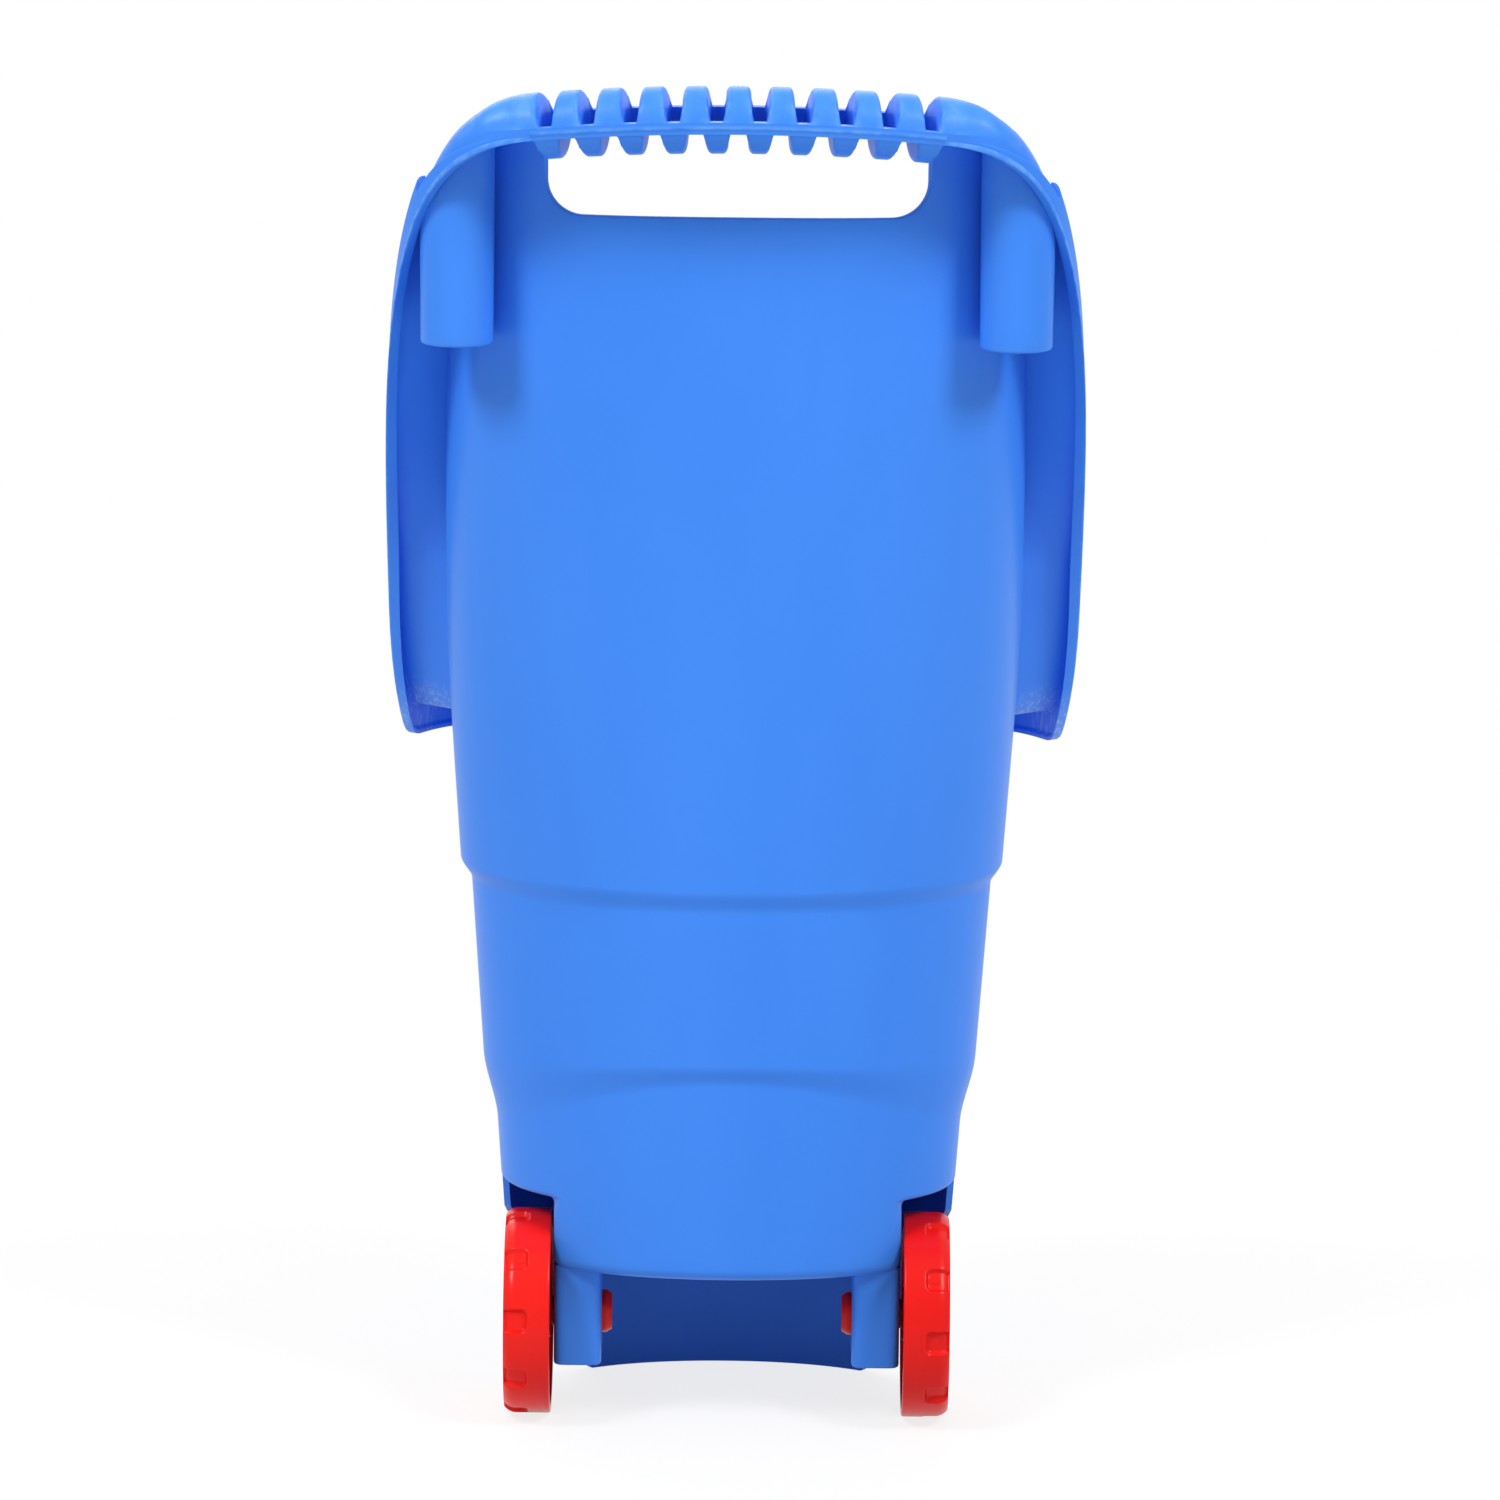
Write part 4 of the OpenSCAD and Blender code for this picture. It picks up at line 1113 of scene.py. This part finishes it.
def span(tree, value, low, high):
    """The share of the way from low to high, held between 0 and 1 with a smooth rise."""
    return fed(tree, new_node(tree, "MapRange", interpolation_type="SMOOTHSTEP"), value, low, high)[0]


def blended(tree, factor, first, second):
    """Two colours mixed by a factor."""
    node = new_node(tree, "Mix", data_type="RGBA")
    wire(tree, factor, node.inputs[0])
    wire(tree, first, node.inputs[6])
    wire(tree, second, node.inputs[7])
    return node.outputs[2]


def new_group(name, outputs, **inputs):
    """An empty shader group with inputs by kind and plain outputs: its tree and the sockets at both ends."""
    tree = bpy.data.node_groups.new(name, "ShaderNodeTree")
    for label, kind in inputs.items():
        tree.interface.new_socket(name=label, in_out="INPUT", socket_type="NodeSocket" + kind)
    for label in outputs:
        tree.interface.new_socket(name=label, in_out="OUTPUT", socket_type="NodeSocketFloat")
    return tree, tree.nodes.new("NodeGroupInput").outputs, tree.nodes.new("NodeGroupOutput").inputs


def moulded_grain():
    """Group: fine pebble of a moulded surface as Height, broad flow streaks as Tone."""
    tree, given, out = new_group("moulded_grain", ["Height", "Tone"], Vector="Vector", Scale="Float")
    vector, scale = given["Vector"], given["Scale"]
    fine = noise(tree, vector, scale, 3)
    coarse = noise(tree, vector, sum_node(tree, "MULTIPLY", scale, COARSE_SCALE), 2)
    under = sum_node(tree, "MULTIPLY", coarse, COARSE_SHARE)
    height = sum_node(tree, "MULTIPLY_ADD", fine, FINE_SHARE, under)
    flow = noise(tree, vector_node(tree, "MULTIPLY", vector, STREAK_SCALE)[0], 1.0, 3)
    wire(tree, height, out["Height"])
    wire(tree, span(tree, flow, *STREAK_SPAN), out["Tone"])
    return tree


def rubbed_edges():
    """Group: a mask on edges that are marked as worn, broken up by fine scratches."""
    tree, given, out = new_group("rubbed_edges", ["Mask"], Vector="Vector", Amount="Float")
    mark = new_node(tree, "Attribute", attribute_name="worn").outputs["Fac"]
    broken = span(tree, noise(tree, given["Vector"], RUB_SCALE, 4), *RUB_SPAN)
    worn = sum_node(tree, "MULTIPLY", mark, broken)
    wire(tree, sum_node(tree, "MULTIPLY", worn, given["Amount"], clamp=True), out["Mask"])
    return tree


def dirt_specks():
    """Group: a mask of rare tiny round specks, one in some cells of a grid of cells."""
    tree, given, out = new_group("dirt_specks", ["Mask"], Vector="Vector", Scale="Float", Share="Float")
    cells = new_node(tree, "TexVoronoi")
    wire(tree, given["Vector"], cells.inputs["Vector"])
    wire(tree, given["Scale"], cells.inputs["Scale"])
    draw = fed(tree, new_node(tree, "SeparateColor"), cells.outputs["Color"])[0]
    chosen = sum_node(tree, "LESS_THAN", draw, given["Share"])
    dot = span(tree, cells.outputs["Distance"], *SPECK_SPAN)
    wire(tree, sum_node(tree, "MULTIPLY", chosen, dot), out["Mask"])
    return tree


def corner_scuffs():
    """Group: a mask of faint short scratches on a haze, the haze a painted sheen of light, in a ball round a
    centre and its mirror image.
    """
    tree, given, out = new_group("corner_scuffs", ["Mask"], Vector="Vector", Centre="Vector", Radius="Float")
    x, y, z = fed(tree, new_node(tree, "SeparateXYZ"), given["Vector"])
    folded = fed(tree, new_node(tree, "CombineXYZ"), sum_node(tree, "ABSOLUTE", x), y, z)[0]
    gap = vector_node(tree, "DISTANCE", folded, given["Centre"])["Value"]
    near = span(tree, sum_node(tree, "DIVIDE", gap, given["Radius"]), *SCUFF_SHEEN_SPAN)
    fine = noise(tree, vector_node(tree, "MULTIPLY", given["Vector"], SCRATCH_SCALE)[0], 1.0, 4)
    # Real scratches plus a pale haze; the haze is painted light that brightens the whole corner patch
    rubbed = sum_node(tree, "MULTIPLY_ADD", span(tree, fine, *SCRATCH_SPAN), SCRATCH, PAINTED_SHEEN)
    wire(tree, sum_node(tree, "MULTIPLY", near, rubbed), out["Mask"])
    return tree


def placed_group(tree, group, vector, **values):
    """One use of a group in a material, with its own values."""
    node = new_node(tree, "Group", node_tree=group)
    wire(tree, vector, node.inputs["Vector"])
    for label, value in values.items():
        wire(tree, value, node.inputs[label])
    return node.outputs


def moulded_plastic(hue, groups, look, with_scuff_sheen):
    """Moulded plastic: flow streaks, fine pebble, rubbed edges, specks and, on the body, corner scuffs with a
    painted sheen.
    """
    endings = ("", "_deep", "_worn", "_rough", "_grain")
    main, deep, worn, rough, grain = (getattr(look, hue + ending) for ending in endings)
    finish = bpy.data.materials.new(hue + "_moulded")
    finish.use_nodes = True
    tree = finish.node_tree
    shader = tree.nodes["Principled BSDF"].inputs
    vector = new_node(tree, "TexCoord").outputs["Object"]
    pebble = placed_group(tree, groups["grain"], vector, Scale=grain)
    rubbed = placed_group(tree, groups["rubbed"], vector, Amount=look.rubbing)
    dirt = placed_group(tree, groups["specks"], vector, Scale=look.speck_scale, Share=look.speck_share)
    base = blended(tree, pebble["Tone"], main, deep)
    base = blended(tree, rubbed["Mask"], base, worn)
    roughness = sum_node(tree, "MULTIPLY_ADD", pebble["Tone"], look.streak_rough, rough)
    if with_scuff_sheen:
        # Whitish scuffs in the rim's lower corners, with a painted sheen of light over them
        marks = placed_group(tree, groups["scuffs"], vector, Centre=look.scuff_sheen_place, Radius=look.scuff_sheen_reach)
        base = blended(tree, marks["Mask"], base, look.scuff)
        roughness = sum_node(tree, "MULTIPLY_ADD", marks["Mask"], look.scuff_rough, roughness)
    bump = new_node(tree, "Bump")
    wire(tree, look.pebble, bump.inputs["Strength"])
    wire(tree, look.pebble_depth, bump.inputs["Distance"])
    wire(tree, pebble["Height"], bump.inputs["Height"])
    wire(tree, blended(tree, dirt["Mask"], base, look.speck), shader["Base Color"])
    wire(tree, roughness, shader["Roughness"])
    wire(tree, look.shine, shader["Specular IOR Level"])
    wire(tree, bump.outputs["Normal"], shader["Normal"])


def dress_nodes(nodes, finish):
    """Gives solids that stay as they are a finish by name."""
    for node in nodes:
        for slot in frame["nodes"][node].material_slots:
            slot.material = bpy.data.materials[finish]


# Studio

def seen_directly(tree):
    """1 for a ray from the camera, or one that a shiny or clear surface sends on."""
    path = new_node(tree, "LightPath").outputs
    shiny = sum_node(tree, "MAXIMUM", path["Is Glossy Ray"], path["Is Transmission Ray"])
    return sum_node(tree, "MAXIMUM", path["Is Camera Ray"], shiny)


def make_floor(studio):
    """A level white sheet that takes shadow near the object and is plain white further out."""
    side = np.linspace(-studio.floor_half, studio.floor_half, 9)
    x, y = np.meshgrid(side, side)
    points = np.stack([x, y, 0 * x], -1).reshape(-1, 3)
    mesh = bpy.data.meshes.new("floor")
    mesh.from_pydata(points.tolist(), [], grid_quads(side.size, side.size, False).tolist())
    finish = bpy.data.materials.new("floor_white")
    finish.use_nodes = True
    tree = finish.node_tree
    shader = tree.nodes["Principled BSDF"]
    seen = seen_directly(tree)
    wire(tree, blended(tree, seen, studio.floor_bounce, studio.floor_white), shader.inputs["Base Color"])
    wire(tree, studio.floor_rough, shader.inputs["Roughness"])
    gap = vector_node(tree, "LENGTH", new_node(tree, "TexCoord").outputs["Object"])["Value"]
    away = span(tree, gap, studio.shadow_near, studio.shadow_reach)
    share = sum_node(tree, "MULTIPLY_ADD", away, 1 - studio.floor_glow, studio.floor_glow)
    white = sum_node(tree, "MULTIPLY", share, seen)
    glow = new_node(tree, "Emission").outputs[0]
    surface = fed(tree, new_node(tree, "MixShader"), white, shader.outputs[0], glow)[0]
    wire(tree, surface, tree.nodes["Material Output"].inputs["Surface"])
    mesh.materials.append(finish)
    floor = bpy.data.objects.new("floor", mesh)
    bpy.context.scene.collection.objects.link(floor)


def make_world(scene, studio):
    """An even fill light that is plain white where it is seen."""
    world = bpy.data.worlds.new("fill_light")
    world.use_nodes = True
    tree = world.node_tree
    sky = tree.nodes["Background"]
    wire(tree, (1, 1, 1, 1), sky.inputs["Color"])
    level = sum_node(tree, "MULTIPLY_ADD", seen_directly(tree), 1 - studio.world_level, studio.world_level)
    wire(tree, level, sky.inputs["Strength"])
    scene.world = world


def make_lamp(studio, name):
    """A square soft lamp at its place in the settings, turned towards the lamps' target."""
    lamp = bpy.data.lights.new("lamp_" + name, "AREA")
    lamp.energy = getattr(studio, name + "_power")
    lamp.size = getattr(studio, name + "_size")
    holder = bpy.data.objects.new("lamp_" + name, lamp)
    bpy.context.scene.collection.objects.link(holder)
    holder.location = getattr(studio, name + "_place")
    ahead = studio.lamp_target - getattr(studio, name + "_place")
    flat = math.hypot(ahead.x, ahead.y)
    holder.rotation_euler = (math.atan2(flat, -ahead.z), 0, math.atan2(-ahead.x, ahead.y))


def make_camera(scene, studio):
    """The photograph's view: a long lens behind the trolley, looking a little down."""
    lens = bpy.data.cameras.new("view")
    lens.lens = studio.camera_lens
    lens.sensor_width = SENSOR_W
    lens.sensor_fit = "HORIZONTAL"
    lens.clip_end = SIGHT
    camera = bpy.data.objects.new("view", lens)
    scene.collection.objects.link(camera)
    camera.location = studio.camera_place
    camera.rotation_euler = (QUARTER - studio.camera_pitch, 0, 0)
    camera.rotation_euler.rotate_axis("Z", studio.camera_roll)
    scene.camera = camera


# Operators

class MakeFinishes(bpy.types.Operator):
    """Make the blue and the red plastic"""
    bl_idname = "trolley.finishes"
    bl_label = "Finishes"

    def execute(self, context):
        look = context.scene.trolley_finish
        groups = {
            "grain": moulded_grain(),
            "rubbed": rubbed_edges(),
            "specks": dirt_specks(),
            "scuffs": corner_scuffs(),
        }
        moulded_plastic("blue", groups, look, with_scuff_sheen=True)
        moulded_plastic("red", groups, look, with_scuff_sheen=False)
        return {"FINISHED"}


class MakeTub(bpy.types.Operator):
    """Make the stepped tub with its hand hole"""
    bl_idname = "trolley.tub"
    bl_label = "Tub"

    def execute(self, context):
        scene = context.scene
        solid = tub_solid(scene.trolley_tub, scene.trolley_rim, scene.trolley_handle, scene.trolley_fittings)
        blue_piece("tub_shell", [solid], ["tub"])
        return {"FINISHED"}


class MakeRim(bpy.types.Operator):
    """Make the slanted rim with its two shoulders"""
    bl_idname = "trolley.rim"
    bl_label = "Rim and shoulders"

    def execute(self, context):
        scene = context.scene
        tub, fit = scene.trolley_tub, scene.trolley_fittings
        solid, worn = rim_solid(tub, scene.trolley_rim, scene.trolley_handle)
        skirt = blue_piece("rim_skirt", [solid], ["side_rim", "shoulder_left", "shoulder_right"], worn=worn)
        cut_away(skirt, [socket_cutter(fit, tub, side) for side in SIDES.values()])
        return {"FINISHED"}


class MakeHandle(bpy.types.Operator):
    """Make the finger-grip handle"""
    bl_idname = "trolley.handle"
    bl_label = "Handle"

    def execute(self, context):
        solid, worn = handle_solid(context.scene.trolley_handle)
        blue_piece("finger_grip", [solid], ["handle_grip"], RIB_CREASE, worn)
        return {"FINISHED"}


class MakeFittings(bpy.types.Operator):
    """Make the two tool sockets, the front foot and the axle posts"""
    bl_idname = "trolley.fittings"
    bl_label = "Sockets, foot and posts"

    def execute(self, context):
        scene = context.scene
        fit, tub, rim = scene.trolley_fittings, scene.trolley_tub, scene.trolley_rim
        for name, side in SIDES.items():
            blue_piece("tool_tube_" + name, [socket_solid(fit, tub, rim, side)], ["tool_socket_" + name])
            leg = blue_piece("axle_leg_" + name, [post_solid(fit, tub, side)], ["axle_post_" + name])
            cut_away(leg, [post_cutter(fit, side)])
        blue_piece("foot_apron", [foot_solid(fit, tub)], ["front_foot"])
        return {"FINISHED"}


class MakeWheels(bpy.types.Operator):
    """Make the two wheels and finish their axle pins"""
    bl_idname = "trolley.wheels"
    bl_label = "Wheels"

    def execute(self, context):
        wheel = context.scene.trolley_wheels
        for name, side in SIDES.items():
            solids = wheel_solid(wheel, side, getattr(wheel, "notch_" + name))
            make_piece("rolling_wheel_" + name, solids, name + "_wheel",
                       ["wheel_" + name], "red_moulded")
        dress_nodes(["axle_pin_" + name for name in SIDES], "red_moulded")
        return {"FINISHED"}


class MakeStudio(bpy.types.Operator):
    """Make the floor, the lamps, the fill light and the camera"""
    bl_idname = "trolley.studio"
    bl_label = "Studio"

    def execute(self, context):
        scene, studio = context.scene, context.scene.trolley_studio
        make_floor(studio)
        make_world(scene, studio)
        for name in ("left", "right", "front", "top"):
            make_lamp(studio, name)
        make_camera(scene, studio)
        scene.view_settings.view_transform = "Standard"
        return {"FINISHED"}


class TrolleyPanel(bpy.types.Panel):
    """Lists the trolley's pieces in the sidebar"""
    bl_idname = "VIEW3D_PT_trolley"
    bl_label = "Trolley"
    bl_space_type = "VIEW_3D"
    bl_region_type = "UI"
    bl_category = "Trolley"

    def draw(self, context):
        for operator in OPERATORS:
            self.layout.operator(operator.bl_idname)


GROUPS = {
    "trolley_tub": TubSizes,
    "trolley_rim": RimSizes,
    "trolley_handle": HandleSizes,
    "trolley_fittings": FittingSizes,
    "trolley_wheels": WheelSizes,
    "trolley_finish": FinishSettings,
    "trolley_studio": StudioSettings,
}
OPERATORS = (MakeFinishes, MakeTub, MakeRim, MakeHandle, MakeFittings, MakeWheels, MakeStudio)


def register():
    """Adds the settings, the operators and the panel."""
    for group in GROUPS.values():
        bpy.utils.register_class(group)
    for name, group in GROUPS.items():
        setattr(bpy.types.Scene, name, bpy.props.PointerProperty(type=group))
    for operator in OPERATORS:
        bpy.utils.register_class(operator)
    bpy.utils.register_class(TrolleyPanel)


def unregister():
    """Takes them out again in the opposite order."""
    bpy.utils.unregister_class(TrolleyPanel)
    for operator in reversed(OPERATORS):
        bpy.utils.unregister_class(operator)
    for name in GROUPS:
        delattr(bpy.types.Scene, name)
    for group in reversed(GROUPS.values()):
        bpy.utils.unregister_class(group)


def main():
    """Makes every piece and the studio."""
    register()
    bpy.ops.trolley.finishes()
    bpy.ops.trolley.tub()
    bpy.ops.trolley.rim()
    bpy.ops.trolley.handle()
    bpy.ops.trolley.fittings()
    bpy.ops.trolley.wheels()
    bpy.ops.trolley.studio()
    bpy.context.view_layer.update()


if __name__ == "__main__":
    main()
